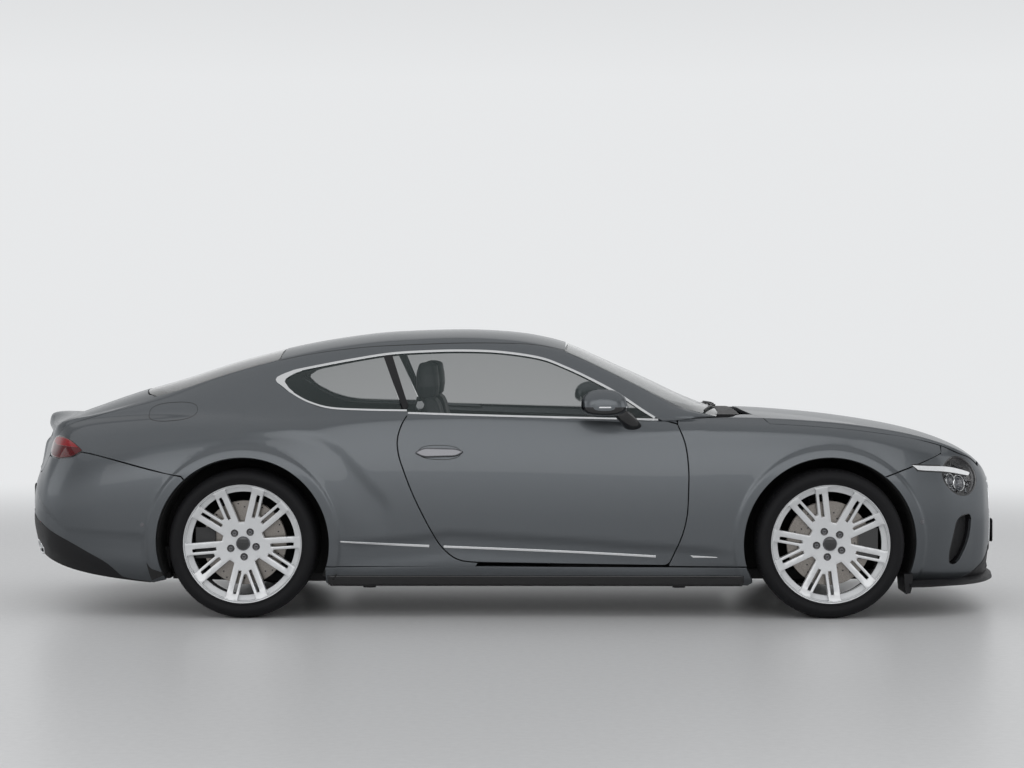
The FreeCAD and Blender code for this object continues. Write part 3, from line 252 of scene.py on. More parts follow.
def distance_to(points, x, z):
    """Signed distance to an open line in the side view, above it positive, and the share along it."""
    best = np.full(x.shape, 1e9)
    sign = np.ones(x.shape)
    for (ax, az), (bx, bz) in zip(points, points[1:]):
        dx, dz = bx - ax, bz - az
        share = np.clip(((x - ax) * dx + (z - az) * dz) / (dx * dx + dz * dz), 0, 1)
        d = np.hypot(x - ax - share * dx, z - az - share * dz)
        side = np.sign(dx * (z - az) - dz * (x - ax))
        sign = np.where(d < best, side, sign)
        best = np.minimum(best, d)
    return best * sign


GRID = body_grid()
NORMAL = normals_of(GRID)
HAUNCH = [(-2100, 890), (-1964, 905), (-1709, 936), (-1388, 950), (-1062, 933), (-904, 893), (-805, 832),
          (-742, 754), (-660, 660), (-560, 560)]
REAR_CREASE = [(-2330, 560), (-2256, 499), (-2169, 426), (-1960, 412), (-1770, 403)]
SILL_CREASE = [(-900, 400), (-737, 388), (-465, 410), (-310, 433), (330, 395), (625, 373), (900, 355),
               (1130, 330)]
WING_CREST = [(250, 868), (600, 890), (900, 914), (1250, 921), (1650, 905), (1900, 850)]


def shape_details(grid, normal):
    """Arch lips, haunch, wing crest and the hollow above the sill, as moves along the surface normal."""
    x, z = grid[:, :, 0], grid[:, :, 2]
    column = np.arange(grid.shape[1])[None]
    side = (1 - step(column, 66, 84)) * step(column, 0, 5)
    move = np.zeros(x.shape)
    for centre, reach in ((FRONT_X, 470), (REAR_X, 474)):
        radius = np.hypot(x - centre, z - WHEEL_Z)
        move += 7.0 * (1 - step(radius, reach - 12, reach + 8)) * (1 - step(z, 860, 930)) * side
    haunch = distance_to(HAUNCH[::-1], x, z)
    ahead = np.where(haunch > 0, 1.0, 0.0)
    fade = step(x, -2250, -1900) * (1 - step(x, -640, -560))
    move += -7.0 * step(np.abs(haunch) * ahead, 0, 60) * (1 - step(np.abs(haunch), 60, 240)) * fade * side
    crest = distance_to(WING_CREST, x, z)
    fade = step(x, 200, 800) * (1 - step(x, 1700, 1900))
    move += 5.0 * np.exp(-(crest / 26.0) ** 2) * fade * side
    crease = distance_to(SILL_CREASE, x, z)
    fade = step(x, -900, -700) * (1 - step(x, 900, 1130))
    move -= 11.0 * step(-crease, 0, 45) * (1 - step(-crease, 95, 175)) * fade * side
    fold = distance_to(REAR_CREASE, x, z)
    move -= 6.0 * step(-fold, 0, 12) * (1 - step(-fold, 60, 150)) * (1 - step(x, -1800, -1760)) * side
    shaped = grid + normal * move[:, :, None]
    # raised tail lip: a smooth rise up to an edge that is curved in plan
    y = shaped[:, :, 1]
    ahead = x - (-2409.0 + 0.00042 * y ** 2)
    rise = 24.0 * (1 - step(ahead, 0, 190)) * step(ahead, -13, 0)
    shaped[:, :, 2] += rise * (1 - step(y, 470, 590)) * step(z, 800, 870)
    return shaped


GRID = shape_details(GRID, NORMAL)
NORMAL = normals_of(GRID)
ROWS, COLS = GRID.shape[:2]
RUN = np.concatenate([[0], np.cumsum(np.linalg.norm(np.diff(GRID[:, 40], axis=0), axis=1))])


def tail_hollow(grid):
    """The tail face drawn in below the lip, so that the lip overhangs it."""
    out = grid.copy()
    x, y, z = grid[:, :, 0], np.abs(grid[:, :, 1]), grid[:, :, 2]
    drawn_in = 30.0 * np.exp(-((z - 868) / 30.0) ** 2)
    out[:, :, 0] += drawn_in * (1 - step(x, -2400, -2330)) * (1 - step(y, 440, 590))
    return out


SHAPE = tail_hollow(GRID)
SHAPE_NORMAL = normals_of(SHAPE)
ACROSS = 11.0
C_WIDE, C_END = 38.0, COLS - 1.0


def surface(t, c):
    """Points and normals at runs t (mm) and columns c."""
    row = np.interp(t, RUN, np.arange(ROWS))
    c = np.clip(c, 0, C_END)
    i, j = np.minimum(row.astype(int), ROWS - 2), np.minimum(c.astype(int), COLS - 2)
    u, v = (row - i)[:, None], (c - j)[:, None]
    out = []
    for field in (SHAPE, SHAPE_NORMAL):
        out.append(field[i, j] * (1 - u) * (1 - v) + field[i + 1, j] * u * (1 - v)
                   + field[i, j + 1] * (1 - u) * v + field[i + 1, j + 1] * u * v)
    point, n = out
    return point, n / np.maximum(np.linalg.norm(n, axis=1, keepdims=True), 1e-9)


def profile(t):
    """Section of the half body at run t."""
    row = min(np.interp(t, RUN, np.arange(ROWS)), ROWS - 1.001)
    i = int(row)
    return GRID[i] * (1 - row + i) + GRID[i + 1] * (row - i)


def by_side(x, z):
    """Place on the surface seen from the side at (x, z)."""
    t = np.interp(x, GRID[:, 40, 0], RUN)
    section = profile(t)
    c = np.interp(z, np.maximum.accumulate(section[:, 2]), np.arange(COLS))
    return t, c


def by_plan(x, y):
    """Place on the upper surface seen from above at (x, y)."""
    t = np.interp(x, GRID[:, 40, 0], RUN)
    section = profile(t)[int(C_WIDE):]
    c = np.interp(-y, np.maximum.accumulate(-section[:, 1]), np.arange(COLS)[int(C_WIDE):])
    return t, c


def by_front(y, z, nose=True):
    """Place on the nose or tail seen from its end at (y, z)."""
    middle = ROWS // 2
    half = slice(middle, ROWS) if nose else slice(middle, None, -1)
    t, c = RUN[-60] if nose else RUN[60], 30.0
    for _ in range(12):
        j = int(min(c, COLS - 2))
        line = GRID[half, j] * (1 - c + j) + GRID[half, j + 1] * (c - j)
        t = np.interp(-y, np.maximum.accumulate(-line[:, 1]), RUN[half])
        section = profile(t)
        c = 0.5 * c + 0.5 * np.interp(z, np.maximum.accumulate(section[:, 2]), np.arange(COLS))
    return t, c


KINDS = {"s": by_side, "p": by_plan, "f": by_front, "r": lambda y, z: by_front(y, z, False),
         "tc": lambda t, c: (t, c)}


# ---------------------------------------------------------------- outlines on the surface
def curve(points, gap):
    """Catmull-Rom curve through points, sampled about every gap."""
    p = np.asarray(points, float)
    p = np.concatenate([2 * p[:1] - p[1:2], p, 2 * p[-1:] - p[-2:-1]])
    out = []
    for a, b, c, d in zip(p, p[1:], p[2:], p[3:]):
        count = max(1, int(round(np.linalg.norm(c - b) / gap)))
        for u in np.arange(count) / count:
            out.append(0.5 * (2 * b + (c - a) * u + (2 * a - 5 * b + 4 * c - d) * u * u
                              + (3 * b - a - 3 * c + d) * u ** 3))
    out.append(p[-2])
    return [tuple(q) for q in out]


def rounded(points, radius=18.0, gap=14.0):
    """Closed outline with straight runs and rounded corners; a third value in a point is its own radius."""
    p = [np.asarray(q[:2], float) for q in points]
    radii = [q[2] if len(q) > 2 else radius for q in points]
    out = []
    for k in range(len(p)):
        a, b, c = p[k - 1], p[k], p[(k + 1) % len(p)]
        back, ahead = a - b, c - b
        la, lb = np.linalg.norm(back), np.linalg.norm(ahead)
        back, ahead = back / la, ahead / lb
        cut = min(radii[k], 0.48 * la, 0.48 * lb)
        start, end = b + back * cut, b + ahead * cut
        for u in np.linspace(0, 1, 5 if cut > 3 else 1):
            out.append((1 - u) ** 2 * start + 2 * u * (1 - u) * b + u * u * end)
        span = np.linalg.norm(p[(k + 1) % len(p)] - b) - cut - min(radii[(k + 1) % len(p)], 0.48 * lb)
        count = int(span / gap)
        stop = p[(k + 1) % len(p)] - ahead * min(radii[(k + 1) % len(p)], 0.48 * lb)
        for u in np.arange(1, count) / max(count, 1):
            out.append(end * (1 - u) + stop * u)
    return [tuple(q) for q in out]


def arc(x, z, radius, start, end, gap=14.0):
    """Arc in the side view, angles in degrees from +X towards +Z."""
    count = max(3, int(abs(math.radians(end - start)) * radius / gap))
    return [(x + radius * math.cos(math.radians(a)), z + radius * math.sin(math.radians(a)))
            for a in np.linspace(start, end, count)]


def squared(value, power):
    """A sine or cosine pushed towards 1, which squares off a round outline."""
    return math.copysign(abs(value) ** power, value)


def squared_ring(x, y, z, half_x, half_y, power_x, power_y):
    """Level ring of 48 points, round at power 1 and square towards power 0."""
    return [(x + half_x * squared(math.cos(a), power_x), y + half_y * squared(math.sin(a), power_y), z)
            for a in np.linspace(0, 2 * math.pi, 48, endpoint=False)]


def oval(a, b, half_a, half_b, turn=0.0, count=56, power=2.0):
    """Closed oval round (a, b), turned, and squarer with a higher power."""
    out = []
    for k in range(count):
        angle = 2 * math.pi * k / count
        ca, sa = math.cos(angle), math.sin(angle)
        r = (abs(ca) ** power + abs(sa) ** power) ** (-1 / power)
        u, v = half_a * r * ca, half_b * r * sa
        out.append((a + u * math.cos(turn) - v * math.sin(turn), b + u * math.sin(turn) + v * math.cos(turn)))
    return out


def on_surface(kind, points):
    """Outline points (run, column across in mm) from points in one of the views."""
    return [(t, c * ACROSS) for t, c in (KINDS[kind](*q) for q in points)]


def centreline(start, stop, gap):
    """Points along the top of the car's centreline, from x start towards x stop."""
    return [(t, C_END * ACROSS) for t, _ in on_surface("p", [(x, 0) for x in np.arange(start, stop, gap)])]


def flat_offset(loop, distance, seam):
    """Loop moved by a distance along its left-hand normals; seam points stay on the centreline."""
    p = np.asarray(loop)
    tangent = np.roll(p, -1, 0) - np.roll(p, 1, 0)
    tangent /= np.maximum(np.linalg.norm(tangent, axis=1, keepdims=True), 1e-9)
    return p + np.stack([-tangent[:, 1], tangent[:, 0]], 1) * distance * (~seam)[:, None]


def area(loop):
    """Signed area of a closed outline."""
    p = np.asarray(loop)
    q = np.roll(p, -1, 0)
    return 0.5 * float(np.sum(p[:, 0] * q[:, 1] - q[:, 0] * p[:, 1]))


def inside(points, loop):
    """Which points lie inside a closed outline."""
    p, hit = np.asarray(loop), np.zeros(len(points), bool)
    for a, b in zip(p, np.roll(p, -1, 0)):
        crosses = (a[1] > points[:, 1]) != (b[1] > points[:, 1])
        if abs(b[1] - a[1]) > 1e-12:
            hit ^= crosses & (points[:, 0] < (b[0] - a[0]) * (points[:, 1] - a[1]) / (b[1] - a[1]) + a[0])
    return hit


def make_object(name, vertices, faces, normals=None, slots=None, materials=()):
    """Smooth mesh object from vertices in millimetres."""
    mesh = bpy.data.meshes.new(name)
    mesh.from_pydata([tuple(v) for v in np.asarray(vertices) * MM], [], [tuple(f) for f in faces])
    mesh.polygons.foreach_set("use_smooth", [True] * len(mesh.polygons))
    if slots is not None:
        mesh.polygons.foreach_set("material_index", slots)
    for material in materials:
        mesh.materials.append(material)
    if normals is not None:
        mesh.normals_split_custom_set_from_vertices([tuple(v) for v in normals])
    obj = bpy.data.objects.new(name, mesh)
    scene.collection.objects.link(obj)
    return obj


def sheet(loops, place, gap=18.0, depth=14.0, bevel=2.2, lift=0.0, back=False, seam_at=None, extra=None):
    """Panel over a flat outline with holes: a smooth face, a rounded edge and a rim going in.

    loops are lists of flat points, the outer one first; place(a, b) gives points and normals.
    Returns vertices, normals, faces, face slots (0 face and rim, 1 back) and the vertices on the centreline.
    """
    tidy = []
    for k, loop in enumerate(loops):
        turn = area(loop)
        loop = list(loop)
        if (turn > 0) != (k == 0):
            loop = loop[::-1]
        spaced = [q for q, before in zip(loop, loop[-1:] + loop[:-1]) if math.dist(q, before) > 0.5]
        tidy.append(np.asarray(spaced))
    seams = [seam_at(loop) if seam_at else np.zeros(len(loop), bool) for loop in tidy]
    inner = [flat_offset(loop, bevel, seam) for loop, seam in zip(tidy, seams)]
    low, high = tidy[0].min(0), tidy[0].max(0)
    a, b = np.meshgrid(np.arange(low[0] + gap / 2, high[0], gap), np.arange(low[1] + gap / 2, high[1], gap))
    a[::2] += gap / 2
    grid = np.stack([a.ravel(), b.ravel()], 1)
    if extra is not None:
        grid = np.concatenate([grid[~extra[1](grid)], extra[0]])
    ok = inside(grid, inner[0])
    for hole in inner[1:]:
        ok &= ~inside(grid, hole)
    grid = grid[ok]
    for loop in inner:
        if len(grid):
            near = np.full(len(grid), 1e9)
            for q in loop:
                near = np.minimum(near, np.hypot(grid[:, 0] - q[0], grid[:, 1] - q[1]))
            grid = grid[near > min(gap * 0.55, 7.0)]
    points, edges, starts = [], [], []
    for loop in inner:
        starts.append(len(points))
        count = len(loop)
        edges += [(len(points) + k, len(points) + (k + 1) % count) for k in range(count)]
        points += [Vector(q) for q in loop]
    points += [Vector(q) for q in grid]
    flat, _, triangles, origins, _, _ = delaunay_2d_cdt(points, edges, [], 0, 1e-4)
    where = {}
    for index, sources in enumerate(origins):
        for source in sources:
            where[source] = index
    flat = np.asarray([tuple(q) for q in flat])
    triangles = np.asarray(triangles)
    middle = flat[triangles].mean(1)
    ok = inside(middle, inner[0])
    for hole in inner[1:]:
        ok &= ~inside(middle, hole)
    triangles = triangles[ok]
    point, normal = place(flat[:, 0], flat[:, 1])
    verts, norms, faces = [point + normal * lift], [normal], [tuple(f) for f in triangles]
    slots = [0] * len(faces)
    total = len(flat)
    on_seam = set()
    ends = []
    for k, (loop, near, seam) in enumerate(zip(tidy, inner, seams)):
        count = len(loop)
        ring = [where[starts[k] + i] for i in range(count)]
        on_seam.update(ring[i] for i in range(count) if seam[i])
        outer_point, outer_normal = place(loop[:, 0], loop[:, 1])
        base = point[ring]
        shift = outer_point - base
        away = shift - outer_normal * np.sum(shift * outer_normal, 1, keepdims=True)
        length = np.linalg.norm(away, axis=1, keepdims=True)
        away = np.where(length > 1e-6, away / np.maximum(length, 1e-6), outer_normal)
        layers = [(0.7, 0.3, 0.7, 0.7), (1.0, 1.0, 0.0, 1.0), (1.0, None, 0.0, 1.0)]
        rings = [ring]
        for share, sink, up, out in layers:
            sunk = depth if sink is None else bevel * sink
            verts.append(base + shift * share + outer_normal * (lift - sunk))
            mixed = outer_normal * up + away * out
            norms.append(mixed / np.maximum(np.linalg.norm(mixed, axis=1, keepdims=True), 1e-9))
            rings.append(list(range(total, total + count)))
            on_seam.update(total + i for i in range(count) if seam[i])
            total += count
        for upper, lower in zip(rings, rings[1:]):
            for i in range(count):
                j = (i + 1) % count
                if seam[i] and seam[j]:
                    continue
                faces.append((upper[j], upper[i], lower[i], lower[j]))
                slots.append(0)
        ends.append(rings[-1])
    if back:
        verts.append(point + normal * (lift - depth))
        norms.append(-normal)
        faces += [tuple(total + i for i in f[::-1]) for f in triangles]
        slots += [1] * len(triangles)
        on_seam.update(total + i for i in list(on_seam) if i < len(flat))
        for k, end in enumerate(ends):
            ring = [total + where[starts[k] + i] for i in range(len(end))]
            count = len(end)
            for i in range(count):
                j = (i + 1) % count
                if not (seams[k][i] and seams[k][j]):
                    faces.append((end[j], end[i], ring[i], ring[j]))
                    slots.append(1)
        total += len(flat)
    a, b, c = (point[triangles[:, k]] for k in range(3))
    if np.sum(np.cross(b - a, c - a) * normal[triangles[:, 0]]) < 0:
        faces = [f[::-1] for f in faces]
    return np.concatenate(verts), np.concatenate(norms), faces, slots, on_seam


def mirrored(parts):
    """The same sheet on the other side of the car."""
    verts, norms, faces, slots, seam = parts
    flip = np.array([1.0, -1.0, 1.0])
    return verts * flip, norms * flip, [tuple(f[::-1]) for f in faces], slots, seam


def joined_halves(parts):
    """One sheet from a half and its mirror image, sharing the centreline."""
    verts, norms, faces, slots, seam = parts
    count = len(verts)
    norms = norms.copy()
    verts = verts.copy()
    share = {}
    for index in seam:
        verts[index, 1] = 0.0
        norms[index, 1] = 0.0
        norms[index] /= max(np.linalg.norm(norms[index]), 1e-9)
    flip = np.array([1.0, -1.0, 1.0])
    for index in range(count):
        share[index] = index if index in seam else count + index
    other = [tuple(share[i] for i in f[::-1]) for f in faces]
    return (np.concatenate([verts, verts * flip]), np.concatenate([norms, norms * flip]), faces + other,
            slots + slots, seam)


def body_place(a, b):
    """Point and normal on the body at flat outline coordinates."""
    return surface(a, b / ACROSS)


def centre_seam(loop):
    """Which outline points lie on the car's centreline."""
    point, _ = body_place(loop[:, 0], loop[:, 1])
    return np.abs(point[:, 1]) < 0.6


def finish_piece(obj, body, nodes=()):
    """Rides a piece on its body and hides the CAD nodes it replaces."""
    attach(obj, body)
    if nodes:
        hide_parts(*nodes)
    return obj


def arch_rings():
    """Close rings of points round both wheel arches, where the lip is, and a test for that zone."""
    flat = []
    for centre in (FRONT_X, REAR_X):
        for radius in np.arange(ARCH_R + 8, ARCH_R + 72, 8.0):
            for angle in np.arange(-40, 220, math.degrees(11.0 / radius)):
                x = centre + radius * math.cos(math.radians(angle))
                z = WHEEL_Z + radius * math.sin(math.radians(angle))
                if 150 < z < 915:
                    flat.append(by_side(x, z))
    flat = np.asarray(flat) * (1.0, ACROSS)

    def taken(points):
        point, _ = body_place(points[:, 0], points[:, 1])
        side = point[:, 2] < 915
        zone = np.zeros(len(points), bool)
        for centre in (FRONT_X, REAR_X):
            zone |= np.abs(np.hypot(point[:, 0] - centre, point[:, 2] - WHEEL_Z) - ARCH_R - 36) < 42
        return zone & side
    return flat, taken


ARCHES = arch_rings()


def panel(name, loops, materials, slot, body, nodes=(), **options):
    """Mirrored pair of panels; body and nodes may hold {side}."""
    parts = sheet(loops, body_place, **options)
    for side, half in (("left", parts), ("right", mirrored(parts))):
        verts, norms, faces, slots, _ = half
        obj = make_object(name + "_" + side, verts, faces, norms, slots, materials)
        finish_piece(obj, body.format(side=side), [n.format(side=side) for n in nodes])


def centre_panel(name, loops, materials, slot, body, nodes=(), **options):
    """One panel across the centreline."""
    parts = joined_halves(sheet(loops, body_place, seam_at=centre_seam, **options))
    verts, norms, faces, slots, _ = parts
    return finish_piece(make_object(name, verts, faces, norms, slots, materials), body, nodes)


def loft_rings(rings, close_ends=True):
    """Faces over a row of rings with the same number of points."""
    count = len(rings[0])
    verts = [tuple(q) for ring in rings for q in ring]
    faces = []
    for k in range(len(rings) - 1):
        a, b = k * count, (k + 1) * count
        faces += [(a + i, a + (i + 1) % count, b + (i + 1) % count, b + i) for i in range(count)]
    if close_ends:
        faces.append(tuple(range(count))[::-1])
        faces.append(tuple(range(len(verts) - count, len(verts))))
    return verts, faces


def outward(verts, faces):
    """The same faces, all turned outwards if most of them face the middle."""
    v = np.asarray(verts)
    middle = v.mean(0)
    total = 0.0
    for f in faces:
        a, b, c = v[f[0]], v[f[1]], v[f[2]]
        total += float(np.dot(np.cross(b - a, c - a), (a + b + c) / 3 - middle))
    return verts, faces if total > 0 else [f[::-1] for f in faces]


# ---------------------------------------------------------------- materials
def node_material(name, colour, metallic=0.0, roughness=0.5, coat=0.0, specular=0.5, alpha=1.0,
                  transmission=0.0):
    """New material with one principled shader."""
    material = bpy.data.materials.new(name)
    material.use_nodes = True
    shader = material.node_tree.nodes["Principled BSDF"]
    shader.inputs["Base Color"].default_value = (*colour, 1.0)
    shader.inputs["Metallic"].default_value = metallic
    shader.inputs["Roughness"].default_value = roughness
    shader.inputs["Coat Weight"].default_value = coat
    shader.inputs["Coat Roughness"].default_value = 0.02
    shader.inputs["Specular IOR Level"].default_value = specular
    shader.inputs["Alpha"].default_value = alpha
    shader.inputs["Transmission Weight"].default_value = transmission
    return material


def texture(material, kind, scale, stretch=(1, 1, 1), **values):
    """Texture node of a material at so many repeats per metre."""
    tree = material.node_tree
    place = tree.nodes.new("ShaderNodeTexCoord")
    mapping = tree.nodes.new("ShaderNodeMapping")
    mapping.inputs["Scale"].default_value = tuple(scale * k for k in stretch)
    tree.links.new(place.outputs["Object"], mapping.inputs["Vector"])
    node = tree.nodes.new(kind)
    for key, value in values.items():
        if key in node.inputs:
            node.inputs[key].default_value = value
        else:
            setattr(node, key, value)
    tree.links.new(mapping.outputs["Vector"], node.inputs["Vector"])
    return node


def map_range(tree, source, start, end, low, high):
    """Output of a node that maps start to end of a value onto low to high."""
    node = tree.nodes.new("ShaderNodeMapRange")
    for key, value in zip(("From Min", "From Max", "To Min", "To Max"), (start, end, low, high)):
        node.inputs[key].default_value = value
    tree.links.new(source, node.inputs["Value"])
    return node


def vary(material, source, low, high, socket="Base Color", start=0.3, end=0.7):
    """Colour or number that follows a texture between two values."""
    tree = material.node_tree
    shader = tree.nodes["Principled BSDF"]
    if isinstance(low, (int, float)):
        tree.links.new(map_range(tree, source, start, end, low, high).outputs["Result"],
                       shader.inputs[socket])
        return
    node = tree.nodes.new("ShaderNodeValToRGB")
    node.color_ramp.elements[0].position, node.color_ramp.elements[1].position = start, end
    node.color_ramp.elements[0].color = (*low, 1)
    node.color_ramp.elements[1].color = (*high, 1)
    tree.links.new(source, node.inputs["Fac"])
    tree.links.new(node.outputs["Color"], shader.inputs[socket])


def bump(material, source, strength, distance):
    """Raises a material's surface by a texture output; distance in metres."""
    tree = material.node_tree
    shader = tree.nodes["Principled BSDF"]
    node = tree.nodes.new("ShaderNodeBump")
    node.inputs["Strength"].default_value = strength
    node.inputs["Distance"].default_value = distance
    tree.links.new(source, node.inputs["Height"])
    if shader.inputs["Normal"].links:
        tree.links.new(shader.inputs["Normal"].links[0].from_socket, node.inputs["Normal"])
    tree.links.new(node.outputs["Normal"], shader.inputs["Normal"])


def grained(name, colour, roughness, scale, strength, lighter=1.35, **options):
    """Moulded or sewn surface with a fine grain and a slow change of tone."""
    material = node_material(name, colour, roughness=roughness, **options)
    grain = texture(material, "ShaderNodeTexVoronoi", scale)
    bump(material, grain.outputs["Distance"], strength, 0.0004)
    tone = texture(material, "ShaderNodeTexNoise", 9.0, Detail=4.0)
    vary(material, tone.outputs["Fac"], colour, tuple(k * lighter for k in colour))
    vary(material, tone.outputs["Fac"], roughness - 0.05, roughness + 0.06, "Roughness")
    return material


def smeared(material, scale, detail, low, high, socket="Base Color"):
    """Cloudy change of colour or gloss over a surface."""
    vary(material, texture(material, "ShaderNodeTexNoise", scale, Detail=detail).outputs["Fac"], low, high,
         socket)


def ribbed(material, scale, low, high):
    """Fine ribs of two colours, as behind a lamp's lens."""
    vary(material, texture(material, "ShaderNodeTexWave", scale, Distortion=0.0).outputs["Fac"], low, high)


PAINT_COLOUR = (0.112, 0.121, 0.130)
PAINT = node_material("paint_grey_metallic", PAINT_COLOUR, metallic=0.72, roughness=0.34, coat=0.35)
PAINT.node_tree.nodes["Principled BSDF"].inputs["Specular Tint"].default_value = (0.40, 0.42, 0.44, 1)
flake = texture(PAINT, "ShaderNodeTexVoronoi", 2600.0)
vary(PAINT, flake.outputs["Distance"], tuple(k * 1.45 for k in PAINT_COLOUR),
     tuple(k * 0.8 for k in PAINT_COLOUR), start=0.05, end=0.7)
orange_peel = texture(PAINT, "ShaderNodeTexNoise", 130.0, Detail=2.0)
bump(PAINT, orange_peel.outputs["Fac"], 0.012, 0.0006)

CHROME = node_material("bright_chrome", (0.66, 0.67, 0.68), metallic=1.0, roughness=0.09)
smeared(CHROME, 30.0, 5.0, 0.06, 0.14, "Roughness")
DARK_CHROME = node_material("dark_chrome", (0.16, 0.16, 0.17), metallic=1.0, roughness=0.16)
smeared(DARK_CHROME, 60.0, 5.0, 0.11, 0.22, "Roughness")
GLOSS_BLACK = node_material("gloss_black", (0.008, 0.008, 0.009), roughness=0.08, coat=0.6)
smeared(GLOSS_BLACK, 40.0, 4.0, 0.05, 0.13, "Roughness")
BLACK_PLASTIC = grained("black_plastic", (0.010, 0.010, 0.011), 0.5, 1400.0, 0.3, specular=0.25)
UNDERSHIELD = grained("undershield", (0.018, 0.018, 0.019), 0.7, 300.0, 0.3)
FELT = grained("wheelhouse_felt", (0.012, 0.012, 0.012), 0.92, 1600.0, 0.7)
RUBBER = grained("tyre_rubber", (0.008, 0.008, 0.009), 0.62, 1100.0, 0.2, specular=0.18)
SEAL_AND_PAINTED_SHADE = grained("seal_rubber_and_painted_shade", (0.010, 0.010, 0.010), 0.6, 1500.0, 0.2)
TRIM = grained("cabin_trim", (0.035, 0.035, 0.037), 0.6, 1100.0, 0.35)
LEATHER = grained("seat_leather", (0.052, 0.056, 0.060), 0.46, 900.0, 0.4)
DARK_LEATHER = grained("dark_leather", (0.020, 0.020, 0.021), 0.45, 1000.0, 0.4)
HEADLINER = grained("headliner_cloth", (0.045, 0.046, 0.048), 0.95, 1500.0, 0.3)
STEEL = node_material("disc_steel", (0.34, 0.32, 0.30), metallic=1.0, roughness=0.32)
smeared(STEEL, 60.0, 6.0, (0.18, 0.165, 0.15), (0.30, 0.28, 0.26))
IRON = grained("painted_iron", (0.030, 0.030, 0.031), 0.55, 500.0, 0.4)
CASTING = node_material("cast_alloy", (0.36, 0.36, 0.37), metallic=1.0, roughness=0.45)
pits = texture(CASTING, "ShaderNodeTexNoise", 500.0, Detail=3.0)
bump(CASTING, pits.outputs["Fac"], 0.3, 0.0005)
vary(CASTING, pits.outputs["Fac"], 0.38, 0.55, "Roughness")
SILVER = node_material("wheel_silver", (0.66, 0.67, 0.68), metallic=0.30, roughness=0.26, coat=0.8)
smeared(SILVER, 1800.0, 2.0, (0.62, 0.63, 0.64), (0.72, 0.73, 0.74))
CALIPER = node_material("caliper_black", (0.012, 0.012, 0.013), roughness=0.25, coat=0.7)
smear = texture(CALIPER, "ShaderNodeTexNoise", 300.0, Detail=3.0)
bump(CALIPER, smear.outputs["Fac"], 0.1, 0.0004)
PLATE = node_material("plate_blank", (0.80, 0.80, 0.79), roughness=0.3, coat=0.3)
smeared(PLATE, 700.0, 2.0, (0.76, 0.76, 0.75), (0.83, 0.83, 0.82))


def glass_material(name, colour, alpha, edge=0.85):
    """Thin tinted glass that is clearer face on than at the edge."""
    material = node_material(name, colour, roughness=0.02, specular=0.6)
    tree = material.node_tree
    weight = tree.nodes.new("ShaderNodeLayerWeight")
    weight.inputs["Blend"].default_value = 0.25
    reach = map_range(tree, weight.outputs["Facing"], 0.0, 1.0, alpha, edge)
    tree.links.new(reach.outputs["Result"], tree.nodes["Principled BSDF"].inputs["Alpha"])
    film = texture(material, "ShaderNodeTexNoise", 3.0, Detail=2.0)
    vary(material, film.outputs["Fac"], 0.01, 0.035, "Roughness")
    return material


CLEAR_GLASS = glass_material("windscreen_glass", (0.040, 0.056, 0.056), 0.34)
TINTED_GLASS = glass_material("tinted_glass", (0.040, 0.056, 0.056), 0.40)
REAR_GLASS = glass_material("rear_glass", (0.025, 0.030, 0.030), 0.62)
LENS = glass_material("lamp_lens", (0.03, 0.03, 0.034), 0.10, 0.4)
RED_LENS = node_material("red_lens", (0.10, 0.003, 0.006), roughness=0.10, coat=0.3, specular=0.3)
ribbed(RED_LENS, 70.0, (0.035, 0.001, 0.002), (0.13, 0.003, 0.006))
CRYSTAL = node_material("lamp_crystal", (0.55, 0.57, 0.60), metallic=1.0, roughness=0.12)
facets = texture(CRYSTAL, "ShaderNodeTexVoronoi", 90.0)
bump(CRYSTAL, facets.outputs["Distance"], 0.9, 0.004)
LIGHT_BAR = node_material("light_bar", (0.86, 0.87, 0.88), roughness=0.18, coat=0.8)
smeared(LIGHT_BAR, 60.0, 2.0, (0.78, 0.79, 0.80), (0.90, 0.91, 0.92))

LENS_DARK = node_material("projector_lens", (0.05, 0.06, 0.07), roughness=0.03, coat=1.0, specular=0.9)
smeared(LENS_DARK, 20.0, 1.0, (0.03, 0.035, 0.045), (0.10, 0.11, 0.13))
BRIGHT_RED = node_material("bright_red_lens", (0.28, 0.006, 0.010), roughness=0.09, coat=0.3, specular=0.3)
ribbed(BRIGHT_RED, 110.0, (0.17, 0.003, 0.006), (0.34, 0.008, 0.014))
# intake mesh: lighter wires are its own pattern, the near-black cell middles are painted shade of the
# openings
MESH_WITH_OPENING_SHADE = node_material("intake_mesh", (0.010, 0.010, 0.011), roughness=0.45, specular=0.2)
mesh_wires_and_shade = texture(MESH_WITH_OPENING_SHADE, "ShaderNodeTexVoronoi", 70.0, distance="CHEBYCHEV", Randomness=0.0)
vary(MESH_WITH_OPENING_SHADE, mesh_wires_and_shade.outputs["Distance"], (0.002, 0.002, 0.002), (0.045, 0.045, 0.047), start=0.33,
     end=0.42)
bump(MESH_WITH_OPENING_SHADE, mesh_wires_and_shade.outputs["Distance"], 0.8, 0.003)

MIRROR_GLASS = node_material("mirror_glass", (0.72, 0.75, 0.77), metallic=1.0, roughness=0.02)
smeared(MIRROR_GLASS, 12.0, 3.0, 0.01, 0.04, "Roughness")
SCREEN_GLASS = node_material("screen_glass", (0.006, 0.007, 0.009), roughness=0.05, coat=1.0)
smeared(SCREEN_GLASS, 25.0, 4.0, 0.03, 0.12, "Roughness")
VENEER = node_material("dark_veneer", (0.035, 0.018, 0.010), roughness=0.18, coat=0.9)
figure = texture(VENEER, "ShaderNodeTexWave", 9.0, stretch=(1, 3, 1), Distortion=7.0, Detail=4.0)
vary(VENEER, figure.outputs["Fac"], (0.018, 0.010, 0.006), (0.075, 0.038, 0.018))

